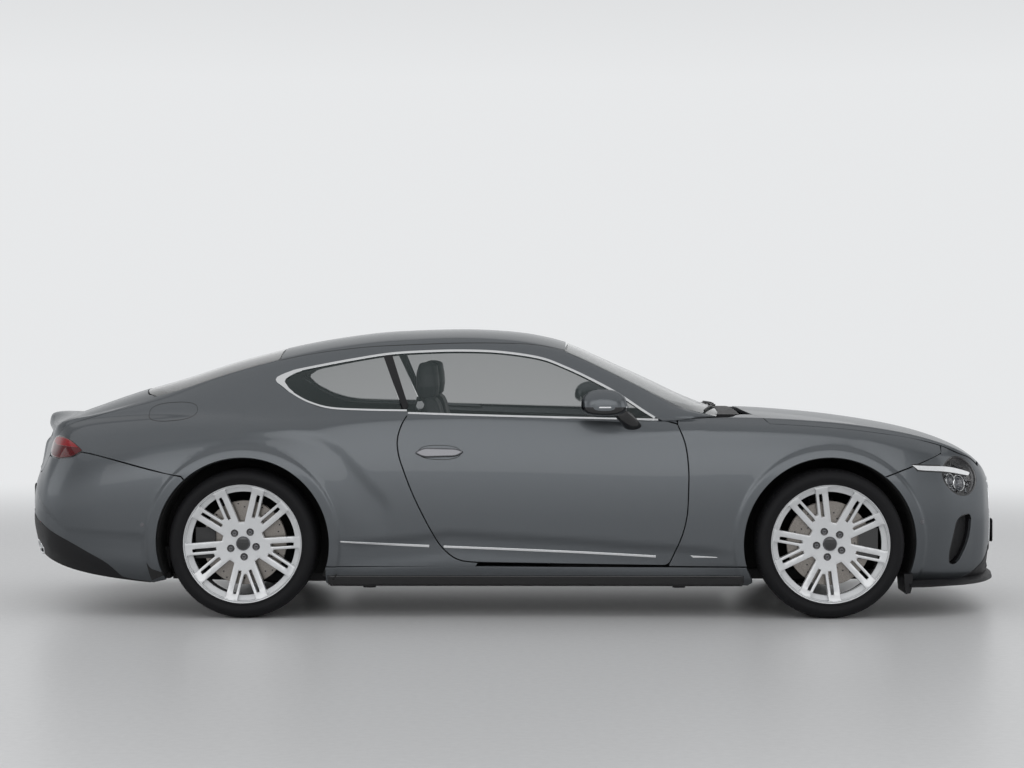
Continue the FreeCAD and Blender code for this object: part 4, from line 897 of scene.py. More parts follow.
# ---------------------------------------------------------------- body panels
DOOR = [(-500, 997, 3), (-252, 985, 40), (138, 974, 60), (738, 957, 4), (804, 941, 6), (843, 850, 60),
        (858, 724, 80), (850, 455, 140), (761, 258, 26), (-168, 273, 60), (-264, 282, 60), (-342, 345, 60),
        (-405, 455, 80), (-484, 613, 90), (-547, 787, 60), (-557, 866, 50), (-535, 940, 60)]
door_loop = on_surface("s", rounded(DOOR))


def beside(points, gap):
    """Closed outline moved outwards by a gap."""
    p = np.asarray(points, float)
    tangent = np.roll(p, -1, 0) - np.roll(p, 1, 0)
    tangent /= np.linalg.norm(tangent, axis=1, keepdims=True)
    out = np.stack([tangent[:, 1], -tangent[:, 0]], 1) * (1 if area(points) > 0 else -1)
    return [tuple(q) for q in p + out * gap]


door_gap = sorted(beside(rounded(DOOR), 4.5), key=lambda q: q[1])
panel("door_skin", [door_loop], [PAINT, TRIM], "paint", "door_{side}", ["door_{side}"], depth=62, back=True)

ANGLE_F = math.degrees(math.asin((252 - WHEEL_Z) / ARCH_R))
door_front = [(764, 253.5)] + [q for q in door_gap if q[0] > 768 and 258 < q[1] < 940] + [(809, 944)]
wing_side = (door_front[::-1] + arc(FRONT_X, WHEEL_Z, ARCH_R, 180 - ANGLE_F,
                                    math.degrees(math.atan2(327, 262))))
wing_line = curve([(1810, 690), (1956, 743), (2050, 780), (2096, 802)], 14)
wing_plan = curve([(2098, 786), (1997, 817), (1798, 855), (1611, 871), (1257, 865)], 14)
wing_rear = [(1247, 846), (1228, 790), (1206, 700), (1192, 630), (1130, 640), (1100, 700), (1085, 760),
             (1060, 795), (950, 815), (870, 832), (812, 850)]
wing_loop = (on_surface("s", wing_side) + on_surface("s", wing_line) + on_surface("p", wing_plan)
             + on_surface("p", wing_rear))
panel("wing_skin", [wing_loop], [PAINT, BLACK_PLASTIC], "paint", "body", ["front_wing_{side}"], extra=ARCHES,
      depth=16)

sill_top = [(-900, 247), (-300, 252), (300, 249), (761, 247), (1138, 246)]
sill_loop = on_surface("s", curve(sill_top, 20) + curve([(1138, 246), (1160, 200), (1172, 168)], 14)[1:]
                       + [(x, 152.5) for x in np.arange(1150, -900, -25)]
                       + curve([(-905, 168), (-905, 246)], 14))
panel("sill_skin", [sill_loop], [PAINT, BLACK_PLASTIC], "paint", "body", [], depth=20)

# roof, pillars and rear quarters in one skin
quarter_lower = curve([(-510, 1003), (-700, 1006), (-880, 1014), (-982, 1038), (-1100, 1098), (-1150, 1132)],
                      14)
quarter_tip = [(-1168, 1150), (-1166, 1164)]
GLASS_EDGE = [(-1140, 1178), (-1089, 1199), (-960, 1226), (-806, 1255), (-618, 1285), (-450, 1297),
              (-258, 1302), (-60, 1295), (138, 1266), (265, 1220), (390, 1162), (515, 1095), (638, 1014),
              (700, 975)]
window_top = curve(GLASS_EDGE + [(742, 956)], 14)
screen_side = [(1000, 750), (850, 747), (700, 720), (550, 680), (400, 637), (262, 600)]
roof_front = [(264, 500), (268, 350), (271, 180), (272, 0)]
rear_top = [(-1168, 0), (-1167, 180), (-1164, 350), (-1160, 480), (-1165, 536)]
rear_side = curve([(-1165, 538), (-1450, 528), (-1700, 515), (-1788, 498), (-1800, 497)], 14)
lid_side = curve([(-1800, 503), (-1900, 551), (-2045, 588), (-2150, 590), (-2240, 590)], 12)
door_rear = [(-166, 268.5)] + [q for q in door_gap if q[0] < -178 and 269 < q[1] < 988] + [(-505, 1001)]
BUMPER_ANGLE = math.degrees(math.atan2(691 - WHEEL_Z, -1598 - REAR_X))
bumper_line = curve([(-1600, 694), (-1671, 704), (-1750, 724), (-2077, 802), (-2170, 790), (-2235, 780)], 12)
shell = (on_surface("p", [(800, 851)]) + on_surface("p", screen_side) + on_surface("p", roof_front)
         + centreline(250, -1160, -22) + on_surface("p", rear_top) + on_surface("p", rear_side)
         + on_surface("p", lid_side)
         + on_surface("r", curve([(590, 872), (591, 830), (606, 792), (650, 778), (700, 778)], 12))
         + on_surface("s", bumper_line[::-1])
         + on_surface("s", arc(REAR_X, WHEEL_Z, ARCH_R, BUMPER_ANGLE,
                               math.degrees(math.atan2(252 - WHEEL_Z, 405))))
         + on_surface("s", [(x, 251) for x in np.arange(-880, -170, 22)]) + on_surface("s", door_rear)
         + on_surface("s", quarter_lower) + on_surface("s", quarter_tip) + on_surface("s", window_top))
centre_panel("body_shell", [shell], [PAINT, HEADLINER], "paint", "body",
             ["body_side_left", "body_side_right", "roof_panel"], extra=ARCHES, depth=26, back=True)

bonnet_half = (on_surface("p", curve([(1163, 0), (1163, 150), (1165, 300), (1185, 560), (1215, 740),
                                      (1253, 858)], 14))
               + on_surface("p", curve([(1257, 861), (1611, 867), (1798, 851), (1997, 813), (2187, 730),
                                        (2303, 594)], 14))
               + on_surface("p", curve([(2311, 580), (2332, 460), (2346, 328), (2347, 170), (2347, 0)], 14))
               + centreline(2325, 1170, -22))
centre_panel("bonnet_skin", [bonnet_half], [PAINT, FELT], "paint", "bonnet", ["bonnet"], depth=18, back=True)

lid_half = (on_surface("p", [(-1895, 0), (-1894, 60), (-1890, 120)])
            + on_surface("p", curve([(-1890, 120), (-1872, 250), (-1850, 380), (-1803, 500), (-1900, 546),
                                     (-2045, 583), (-2150, 585), (-2240, 585)], 12)[1:])
            + on_surface("r", curve([(585, 870), (585, 820), (583, 750), (575, 712), (550, 694)], 12))
            + on_surface("r", [(y, 692) for y in np.arange(545, 0, -20)])
            + [(RUN[0], c * ACROSS) for c in np.linspace(by_front(0.5, 692, False)[1], C_END, 8)]
            + centreline(-2440, -1900, 20))
centre_panel("boot_skin", [lid_half], [PAINT, FELT], "paint", "boot_lid", ["boot_lid"], depth=16, back=True)


def dense(points, gap=14.0):
    """Straight runs between points, sampled about every gap."""
    out = []
    for a, c in zip(points, points[1:]):
        count = max(1, int(round(math.dist(a, c) / gap)))
        out += [tuple(np.asarray(a) * (1 - u) + np.asarray(c) * u) for u in np.arange(count) / count]
    return out + [points[-1]]


def nose_line(low, high):
    """Centreline of the nose between two heights."""
    section = np.maximum.accumulate(GRID[-1, :, 2])
    c_low, c_high = np.interp([low, high], section, np.arange(COLS))
    return [(RUN[-1], c * ACROSS) for c in np.linspace(c_low, c_high, 6)]


GRILLE = [(12, 330), (386, 330), (397, 334), (402, 346), (428, 622), (426, 634), (415, 640), (12, 640)]
LOW_INTAKE = [(12, 200), (440, 200), (462, 206), (470, 222), (470, 272), (460, 286), (440, 290), (12, 290)]
SIDE_INTAKE = [(2138, 256, 22), (2136, 312, 30), (2153, 386, 60), (2170, 466, 26), (2196, 494, 20),
               (2244, 502, 18), (2256, 478, 24), (2250, 401, 50), (2232, 341, 50), (2196, 272, 30),
               (2168, 250, 20)]
LAMP_X, LAMP_Z = 2194, 686


def lamp_oval(half_a, half_b):
    """Oval of the headlamp at the given half sizes."""
    return oval(LAMP_X, LAMP_Z, half_a, half_b, math.radians(-42), count=60, power=2.15)


LAMP = lamp_oval(106, 86)
front_half = (on_surface("s", arc(FRONT_X, WHEEL_Z, ARCH_R, math.degrees(math.atan2(325, 262)),
                                  math.degrees(math.atan2(-195, 372))))
              + [(t, 0.0) for t in np.linspace(by_side(1925, 170)[0], RUN[-1], 60)]
              + nose_line(GRID[-1, 0, 2], 199) + on_surface("f", dense(LOW_INTAKE)) + nose_line(291, 329)
              + on_surface("f", dense(GRILLE)) + nose_line(641, GRID[-1, -1, 2])
              + [(q[0], C_END * ACROSS) for q in on_surface("p", [(x, 0) for x in (2430, 2410, 2390, 2370)])]
              + on_surface("p", curve([(2354, 0), (2354, 170), (2353, 330), (2339, 464), (2318, 586)], 14))
              + on_surface("p", curve([(2310, 600), (2194, 736), (2104, 784)], 14))
              + on_surface("s", curve([(2096, 797), (1956, 738), (1812, 686)], 14)))
front_loops = [front_half, on_surface("s", rounded(SIDE_INTAKE)), on_surface("s", LAMP)]
centre_panel("front_bumper_skin", front_loops, [PAINT, BLACK_PLASTIC], "paint", "body", ["front_bumper"],
             extra=ARCHES, depth=16)

rear_half = (on_surface("s", curve([(-1602, 688), (-1750, 719), (-2077, 797), (-2170, 785), (-2235, 775)],
                                   12))
             + on_surface("r", curve([(700, 773), (650, 773), (610, 768), (591, 740), (582, 710), (556, 688)],
                                     12)) + on_surface("r", [(y, 686) for y in np.arange(540, 0, -20)])
             + [(RUN[0], c * ACROSS) for c in np.linspace(by_front(0.5, 686, False)[1], 0, 20)]
             + [(t, 0.0) for t in np.linspace(RUN[0], by_side(-1750, 170)[0], 70)]
             + on_surface("s", arc(REAR_X, WHEEL_Z, ARCH_R, math.degrees(math.atan2(-180, -379)) % 360,
                                   math.degrees(math.atan2(326, -297)), 14)))
centre_panel("rear_bumper_skin", [rear_half, on_surface("r", oval(600, 318, 73, 31, count=48))],
             [PAINT, BLACK_PLASTIC], "paint", "body", ["rear_bumper"], extra=ARCHES, depth=16)


# ---------------------------------------------------------------- wheels and tyres
def lathe(profile, segments, centre, side):
    """Vertices and faces of a (radius, out) profile turned about the axle; out points away from the car."""
    verts, faces = [], []
    for k in range(segments):
        angle = 2 * math.pi * k / segments
        for r, out in profile:
            verts.append((centre[0] + r * math.cos(angle), centre[1] + side * out,
                          centre[2] + r * math.sin(angle)))
    count = len(profile)
    for k in range(segments):
        a, b = k * count, (k + 1) % segments * count
        for i in range(count - 1):
            face = (a + i, a + i + 1, b + i + 1, b + i)
            faces.append(face if side > 0 else face[::-1])
    return verts, faces


def add_parts(name, parts, materials, smooth_angle=32):
    """One object from several (vertices, faces, slot) parts."""
    verts, faces, slots = [], [], []
    for part_verts, part_faces, slot in parts:
        base = len(verts)
        verts += [tuple(v) for v in part_verts]
        faces += [tuple(base + i for i in f) for f in part_faces]
        slots += [slot] * len(part_faces)
    obj = make_object(name, np.asarray(verts, float), faces, None, slots, materials)
    obj.data.set_sharp_from_angle(angle=math.radians(smooth_angle))
    return obj


def face_out(r):
    """How far the spoke face stands in from the rim's edge plane, by radius."""
    return -5.0 - 13.0 * (1 - step(r, 236.0, 281.0)) - 18.0 * (1 - np.clip(r / 236.0, 0, 1) ** 2)


# Double spoke, from its own axis: side towards the shallow opening, slot, side towards the deep one.
SPOKE_THIN, SLOT_NEAR, SLOT_FAR, SPOKE_THICK = -40.0, -26.0, -10.0, 19.0
DEEP_TIP, SHALLOW_TIP, OPENING_R, FACE_R = 104.0, 150.0, 277.0, 282.0
SPOKE_PITCH = math.radians(36.0)


def wheel_face_loops():
    """Flat outlines of the wheel face: the outer ring, ten openings and ten slots; angles from a lug."""
    loops = [oval(0, 0, FACE_R, FACE_R, count=180)]
    for index in range(10):
        deep = index % 2 == 1
        offset, tip = (SPOKE_THICK, DEEP_TIP) if deep else (-SPOKE_THIN, SHALLOW_TIP)
        half_pitch = SPOKE_PITCH / 2
        # the bar's edge is parallel to its axis, which lies half a pitch away
        def edge(radius):
            return half_pitch - math.asin(offset / radius)
        sides = []
        for radius in (tip, OPENING_R):
            sides.append((radius * math.cos(edge(radius)), radius * math.sin(edge(radius))))
        (near_x, near_y), (far_x, far_y) = sides
        arch = [(OPENING_R * math.cos(a), OPENING_R * math.sin(a), 2.0)
                for a in np.linspace(edge(OPENING_R), -edge(OPENING_R), 9)[1:-1]]
        ring = [(near_x, -near_y, 5.0), (near_x, near_y, 5.0),
                (far_x, far_y, 7.0)] + arch + [(far_x, -far_y, 7.0)]
        loops.append(spun(rounded(ring[::-1], 6.0, 12.0), index * SPOKE_PITCH))
        # slot between the thick and the thin bar of the double spoke
        lean = 1 if not deep else -1
        slot = [(131.0, lean * SLOT_NEAR, 2.0), (247.0, lean * SLOT_NEAR, 2.0), (247.0, lean * SLOT_FAR, 2.0),
                (131.0, lean * SLOT_FAR, 2.0)]
        loops.append(spun(rounded(slot, 2.0, 12.0), (index + 0.5) * SPOKE_PITCH))
    return loops


def spun(points, angle):
    """Flat points turned about the origin."""
    c, s = math.cos(angle), math.sin(angle)
    return [(x * c - y * s, x * s + y * c) for x, y in points]


def disc_place(out):
    """Places flat points on a turned face whose height over the rim plane is out(radius)."""
    def place(a, b):
        r = np.hypot(a, b)
        slope = (out(r + 0.5) - out(r - 0.5))
        n = np.stack([-slope * a / np.maximum(r, 1e-6), np.ones_like(r), -slope * b / np.maximum(r, 1e-6)], 1)
        n /= np.linalg.norm(n, axis=1, keepdims=True)
        return np.stack([a, out(r), b], 1), n
    return place


FACE = sheet(wheel_face_loops(), disc_place(face_out), gap=11.0, depth=34.0, bevel=2.6)
BOLT = sheet([oval(0, 0, 10.5, 10.5, count=6), oval(0, 0, 5.0, 5.0, count=12)], disc_place(lambda r: 0 * r),
             gap=6.0, depth=12.0, bevel=1.2)


def wheel(end, side_name, side, lug_angle):
    """Wheel, tyre and brake of one corner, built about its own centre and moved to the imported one."""
    node = "wheel_%s_%s" % (end, side_name)
    tyre_node = "tyre_%s_%s" % (end, side_name)
    low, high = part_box(tyre_node)
    low, high = Vector(low) / MM, Vector(high) / MM
    centre = (low + high) / 2
    half = (high.y - low.y) / 2
    radius = (high.x - low.x) / 2
    rim_edge = half - 13.0
    at = np.array([centre.x, centre.y, centre.z])
    parts = []

    def place_sheet(source, slot, shift=(0, 0, 0), angle=0.0, out=0.0):
        verts, _, faces, _, _ = source
        verts = verts.copy()
        verts[:, 0] += shift[0]
        verts[:, 2] += shift[1]
        c, s = math.cos(angle), math.sin(angle)
        x, z = verts[:, 0] * c - verts[:, 2] * s, verts[:, 0] * s + verts[:, 2] * c
        moved = np.stack([x, side * (verts[:, 1] + out), z], 1) + at
        parts.append((moved, faces if side > 0 else [f[::-1] for f in faces], slot))

    angle = math.radians(lug_angle)
    place_sheet(FACE, 0, out=rim_edge, angle=angle)
    # rim: outer lip, well and inner flange
    back = -2 * rim_edge
    barrel = [(281, -24), (281.5, -12), (282.5, -4), (284.5, -0.6), (287.0, 0), (289.2, -1.5), (289.5, -5),
              (289.5, -9), (286, -12), (283.5, -14), (283.5, back + 14), (286, back + 12), (289, back + 6),
              (286, back), (276, back + 2), (268, back + 16), (264, back + 60), (262, -150), (256, -72),
              (252, -60), (252, -49), (254, -46.5), (262, -46), (276, -44), (280, -40), (281, -24)]
    verts, faces = lathe([(r, out + rim_edge) for r, out in barrel], 128, at, side)
    parts.append((verts, faces, 0))
    bolt_r = 65.0
    bolt_face = float(face_out(bolt_r))
    # gloss black dish round each bolt on the flat face: painted shade of the hollow the bolt sits in
    bolt_pocket_shade = [(18.5, 1.5), (17.0, 0.9), (15.5, 0.4), (0.5, 0.2)]
    for k in range(5):
        a = angle + 2 * math.pi * k / 5
        place_sheet(BOLT, 1, shift=(bolt_r, 0), angle=a, out=rim_edge + bolt_face + 4.0)
        verts, faces = lathe(bolt_pocket_shade, 24, (0, 0, 0), 1)
        verts = np.asarray(verts) + np.array([bolt_r, bolt_face + 0.4, 0])
        c, s = math.cos(a), math.sin(a)
        moved = np.stack([verts[:, 0] * c - verts[:, 2] * s, side * (verts[:, 1] + rim_edge),
                          verts[:, 0] * s + verts[:, 2] * c], 1) + at
        parts.append((moved, faces if side > 0 else [f[::-1] for f in faces], 2))
    hub = rim_edge + float(face_out(0.0))
    cap = [(35.0, hub + 0.5), (34.0, hub + 6.0), (32.0, hub + 8.5), (29.5, hub + 8.5), (28.6, hub + 7.0),
           (20.0, hub + 8.6), (8.0, hub + 9.4), (0.3, hub + 9.6)]
    verts, faces = lathe(cap, 48, at, side)
    rows = len(cap) - 1
    parts.append((verts, [f for i, f in enumerate(faces) if i % rows < 4], 1))
    parts.append((verts, [f for i, f in enumerate(faces) if i % rows >= 4], 2))
    # brake disc with its bell, behind the spokes
    near = 10.0
    disc = [(60, near + 40), (92, near + 40), (98, near + 36), (99, near + 33), (130, near + 33),
            (204, near + 33), (205, near + 32), (205, near + 20), (198, near + 19), (198, near + 14),
            (205, near + 13), (205, near + 1), (204, near), (100, near)]
    verts, faces = lathe(disc, 96, at, side)
    parts.append((verts, faces, 3))
    # drilled holes drawn as gloss black dots on the disc face: painted shade in the holes
    hole_shade_verts, hole_shade_faces = [], []
    for index in range(40):
        r = (126, 150, 174, 192)[index % 4]
        a = 2 * math.pi * index / 40
        hole_x, hole_z = at[0] + r * math.cos(a), at[2] + r * math.sin(a)
        base = len(hole_shade_verts)
        for k in range(10):
            b = 2 * math.pi * k / 10
            hole_shade_verts.append((hole_x + 4.2 * math.cos(b), at[1] + side * (near + 33.25),
                           hole_z + 4.2 * math.sin(b)))
        ring = [base + k for k in range(10)]
        hole_shade_faces.append(tuple(ring if side < 0 else ring[::-1]))
    parts.append((hole_shade_verts, hole_shade_faces, 2))
    obj = add_parts("wheel_detail_%s_%s" % (end, side_name), parts, [SILVER, DARK_CHROME, GLOSS_BLACK, STEEL])
    finish_piece(obj, "wheel_%s_%s" % (end, side_name), [node])

    # tyre: bulged wall with a raised rim guard, shoulder blocks and grooved tread
    w = half
    groove_floor = 354.0
    wall = [(288, w - 16), (291, w - 9), (296, w - 6), (299, w - 7.5), (303, w - 5.5), (316, w - 1.5),
            (322, w - 0.2), (326, w - 1.0), (333, w - 2.2), (341, w - 7), (348, w - 14), (353.5, w - 22),
            (357.5, w - 32), (360.0, w - 46)]
    grooves = []
    for centre_out, width in ((w * 0.56, 9.0), (w * 0.19, 10.0), (-w * 0.19, 10.0), (-w * 0.56, 9.0)):
        crown = 361.4 + 0.5 * (1 - abs(centre_out) / w)
        grooves += [(crown, centre_out + width / 2 + 0.6), (groove_floor, centre_out + width / 2 - 1),
                    (groove_floor, centre_out - width / 2 + 1), (crown, centre_out - width / 2 - 0.6)]
    tyre_profile = wall + grooves + [(r, -out) for r, out in wall[::-1]]
    verts, faces = lathe([(min(r, radius), out) for r, out in tyre_profile], 144, at, side)
    tyre_parts = [(verts, faces, 0)]
    # cross cuts of the shoulder blocks, as narrow dark notches
    for k in range(72):
        a = 2 * math.pi * k / 72
        for flank in (1, -1):
            outs = [(w - 24) * flank, (w * 0.64) * flank]
            base_verts = []
            for out, r in zip(outs, (355.4, 361.2)):
                for da in (-0.0055, 0.0055):
                    base_verts.append((at[0] + (r + 0.25) * math.cos(a + da + 0.004 * flank),
                                       at[1] + side * out,
                                       at[2] + (r + 0.25) * math.sin(a + da + 0.004 * flank)))
            notch = (0, 1, 3, 2) if side * flank < 0 else (2, 3, 1, 0)
            tyre_parts.append((base_verts, [notch], 1))
    tyre = add_parts("tyre_detail_%s_%s" % (end, side_name), tyre_parts, [RUBBER, SEAL_AND_PAINTED_SHADE], 40)
    finish_piece(tyre, "wheel_%s_%s" % (end, side_name), [tyre_node])


for end, lug_right, lug_left in (("front", 43.0, 25.0), ("rear", -14.0, 10.0)):
    wheel(end, "right", -1, lug_right)
    wheel(end, "left", 1, lug_left)


# ---------------------------------------------------------------- glass, seals and bright strips
def band(line, low, high, kind="s"):
    """Outline of a strip beside a line of view points, from low to high mm to its left."""
    p = np.asarray(line, float)
    tangent = np.gradient(p, axis=0)
    tangent /= np.linalg.norm(tangent, axis=1, keepdims=True)
    left = np.stack([-tangent[:, 1], tangent[:, 0]], 1)
    return on_surface(kind, [tuple(q) for q in p + left * low] + [tuple(q) for q in (p + left * high)[::-1]])


GLASS_TOP = curve(GLASS_EDGE, 24)
DOOR_BELT = curve([(-506, 992), (-252, 984), (138, 973), (500, 964), (714, 958)], 24)
QUARTER_BELT = curve([(-1108, 1103), (-1050, 1068), (-982, 1038), (-880, 1014), (-700, 1006), (-512, 1003)],
                     24)
split = 4 + int(np.argmin([abs(x + 600) for x, _ in GLASS_TOP[4:]]))
door_pane = ([(x, z - 6) for x, z in GLASS_TOP[split:]] + [(708, 964)]
             + [(x, z + 4) for x, z in DOOR_BELT[::-1]] + dense([(-516, 1010), (-610, 1274)], 24))
panel("door_pane", [on_surface("s", door_pane)], [TINTED_GLASS], "tinted_glass", "door_{side}",
      ["door_glass_{side}"], lift=-4.0, depth=4.5, bevel=1.2, gap=30.0)
quarter_pane = ([(-1150, 1150)] + [(x, z - 6) for x, z in GLASS_TOP[:split]]
                + dense([(-634, 1272), (-536, 1012)], 24) + [(x, z + 4) for x, z in QUARTER_BELT[::-1][1:]]
                + [(-1150, 1138)])
panel("quarter_pane", [on_surface("s", quarter_pane)], [TINTED_GLASS], "tinted_glass", "body", lift=-4.0,
      depth=4.5, bevel=1.2, gap=30.0)
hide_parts("quarter_glass")

SCREEN = ([(x, y - 5) for x, y in dense([(1004, 752), (850, 749), (700, 722), (550, 682), (400, 639),
                                         (266, 602)], 20)]
          + curve([(276, 500), (280, 350), (283, 180), (284, 0)], 24))
screen_half = (on_surface("p", SCREEN)
               + centreline(304, 1020, 24)
               + on_surface("p", curve([(1030, 0), (1030, 300), (1024, 560), (1010, 700)], 24)))
centre_panel("windscreen_pane", [screen_half], [CLEAR_GLASS], "clear_glass", "body", ["windscreen"],
             lift=-2.0, depth=6.0, bevel=1.5, gap=30.0)
rear_pane_half = (on_surface("p", curve([(-1176, 0), (-1175, 180), (-1172, 350), (-1168, 480), (-1173, 528)],
                                        20))
                  + on_surface("p", curve([(-1180, 532), (-1450, 521), (-1700, 508), (-1782, 492)], 20))
                  + on_surface("p", curve([(-1794, 486), (-1842, 372), (-1868, 245), (-1885, 118),
                                           (-1889, 0)], 20)) + centreline(-1868, -1184, 24))
centre_panel("rear_window_pane", [rear_pane_half], [REAR_GLASS], "clear_glass", "body", ["rear_window"],
             lift=-2.0, depth=6.0, bevel=1.5, gap=30.0)

# bright window surround: thick at the rear tip, slim along the roof rail and the belt
tip_chrome = ([(-1172, 1152), (-1166, 1166), (-1142, 1179)] + GLASS_TOP[1:4]
              + [(-1040, 1198), (-1086, 1181), (-1120, 1158), (-1124, 1144), (-1100, 1114), (-1074, 1094),
                 (-1080, 1084), (-1108, 1103), (-1140, 1126), (-1162, 1140)])
surround = (("window_tip_trim", on_surface("s", tip_chrome), "body"),
            ("window_top_trim", band(GLASS_TOP[2:], -10.0, 1.0), "body"),
            ("quarter_belt_trim", band(QUARTER_BELT[1:], 0.0, 9.0), "body"),
            ("door_belt_trim", band(DOOR_BELT, -1.0, 8.0), "door_{side}"))
for name, loop, body in surround:
    panel(name, [loop], [CHROME], "dark_chrome", body, lift=2.4, depth=8.0, bevel=2.0, gap=12.0)
pillar_edge = dense([(-528, 1008), (-640, 1274), (-596, 1278), (-496, 1005)], 24)[:-1]
panel("pillar_trim", [on_surface("s", pillar_edge)], [BLACK_PLASTIC], "gloss_black", "body", lift=1.2,
      depth=6.0, bevel=1.5, gap=14.0)
panel("sill_strip_door", [band(curve([(-330, 350), (3, 337), (350, 322), (700, 303)], 24), -8.0, 5.0)],
      [CHROME], "dark_chrome", "door_{side}", lift=5.0, depth=10.0, bevel=2.5, gap=12.0)
rear_strip = ([(-834, 374)] + curve([(-834, 378), (-600, 367), (-400, 358)], 24)
              + curve([(-400, 345), (-600, 355), (-832, 370)], 24))
panel("sill_strip_rear", [on_surface("s", rear_strip)], [CHROME], "dark_chrome", "body", lift=5.0, depth=10.0,
      bevel=2.0, gap=12.0)
wing_strip = dense([(866, 307), (994, 300), (999, 297), (994, 294), (864, 295)], 16)[:-1]
panel("sill_strip_wing", [on_surface("s", wing_strip)], [CHROME], "dark_chrome", "body", lift=4.0,
      depth=9.0, bevel=2.0, gap=10.0)
seam_line = curve([(262, 566), (0, 592), (-300, 600), (-600, 594), (-900, 572), (-1158, 548)], 24)
panel("roof_seam", [band(seam_line, -2.0, 2.0, "p")], [SEAL_AND_PAINTED_SHADE], "black_plastic", "body", lift=0.5, depth=3.0,
      bevel=0.4, gap=12.0)

# gloss black strip along the foot of the sill: painted shade where the sill turns under
panel("sill_foot",
      [on_surface("s", dense([(-896, 206), (1128, 206)], 26) + dense([(1132, 160), (-896, 160)], 26))],
      [GLOSS_BLACK], "black_plastic", "body", lift=5.0, depth=22.0, bevel=5.0, gap=16.0)
# thin black ring round the fuel flap: painted shade of the gap round the flap
flap = oval(-1675, 998, 124, 44, math.radians(4), count=48, power=2.6)
flap_in = oval(-1675, 998, 121.5, 41.5, math.radians(4), count=48, power=2.6)
flap_parts = sheet([on_surface("s", flap), on_surface("s", flap_in)], body_place, lift=0.5, depth=2.0,
                   bevel=0.4)
verts, norms, faces, slots, _ = mirrored(flap_parts)
finish_piece(make_object("fuel_flap_gap", verts, faces, norms, slots, [SEAL_AND_PAINTED_SHADE]), "body")
HANDLE = [(-472, 803, 12), (-430, 781, 30), (-268, 785, 24), (-231, 808, 10), (-268, 823, 20),
          (-430, 827, 24)]
panel("handle_bar", [on_surface("s", rounded(HANDLE))], [DARK_CHROME], "paint", "door_{side}", lift=15.0,
      depth=17.0, bevel=6.5, gap=9.0)
# thin black ring round the handle's cup: painted shade of the recess behind the handle
cup = [on_surface("s", oval(-350, 806, 104, 36, math.radians(-1), count=40, power=2.4)),
       on_surface("s", oval(-350, 806, 101, 33, math.radians(-1), count=40, power=2.4))]
panel("handle_cup_shade_ring", cup, [SEAL_AND_PAINTED_SHADE], "black_plastic", "door_{side}", lift=0.4, depth=2.0, bevel=0.5)


# ---------------------------------------------------------------- lamps, grille, lower mouldings
def sunk_place(centre, radius, depth):
    """Surface that sinks inwards like a bowl round a place seen from the side."""
    t0, c0 = by_side(*centre)

    def place(a, b):
        point, normal = surface(a, b / ACROSS)
        base, axis = surface(np.array([t0]), np.array([c0]))
        share = np.clip(np.linalg.norm(point - base, axis=1) / radius, 0, 1)
        return point - axis * (depth * (1 - share ** 2))[:, None], normal
    return place, surface(np.array([t0]), np.array([c0]))


def lathe_at(profile, origin, axis, segments):
    """Profile of (radius, out) turned about an axis through a point."""
    axis = Vector(axis).normalized()
    turn = Vector((0, 0, 1)).rotation_difference(axis).to_matrix()
    verts, faces = [], []
    for k in range(segments):
        angle = 2 * math.pi * k / segments
        for r, out in profile:
            place = Vector((r * math.cos(angle), r * math.sin(angle), out))
            verts.append(tuple(Vector(origin) + turn @ place))
    count = len(profile)
    for k in range(segments):
        a, b = k * count, (k + 1) % segments * count
        faces += [(a + i, b + i, b + i + 1, a + i + 1) for i in range(count - 1)]
    return verts, faces


def flip_parts(parts):
    """The same (vertices, faces, slot) parts on the other side of the car."""
    return [([(v[0], -v[1], v[2]) for v in verts], [f[::-1] for f in faces], slot)
            for verts, faces, slot in parts]


def both_sides(name, parts, materials, body, nodes=(), smooth=32):
    """Mirrored pair of pieces from (vertices, faces, slot) parts; body and nodes may hold {side}."""
    for side, some in (("left", parts), ("right", flip_parts(parts))):
        obj = add_parts(name + "_" + side, some, materials, smooth)
        finish_piece(obj, body.format(side=side), [n.format(side=side) for n in nodes])


bowl_place, (lamp_base, lamp_axis) = sunk_place((LAMP_X, LAMP_Z), 105.0, 62.0)
verts, norms, faces, slots, _ = sheet([on_surface("s", LAMP)], bowl_place, gap=12.0, lift=-7.0, depth=6.0,
                                      bevel=1.0)
bowl = (verts, faces, 0)
lamp_axis = lamp_axis[0]
forward = np.array([0.95, 0.0, 0.0]) - lamp_axis * 0.95 * lamp_axis[0]
forward /= np.linalg.norm(forward)
rise = np.cross(lamp_axis, forward)
rise *= np.sign(rise[2])
lamp_parts = [bowl]
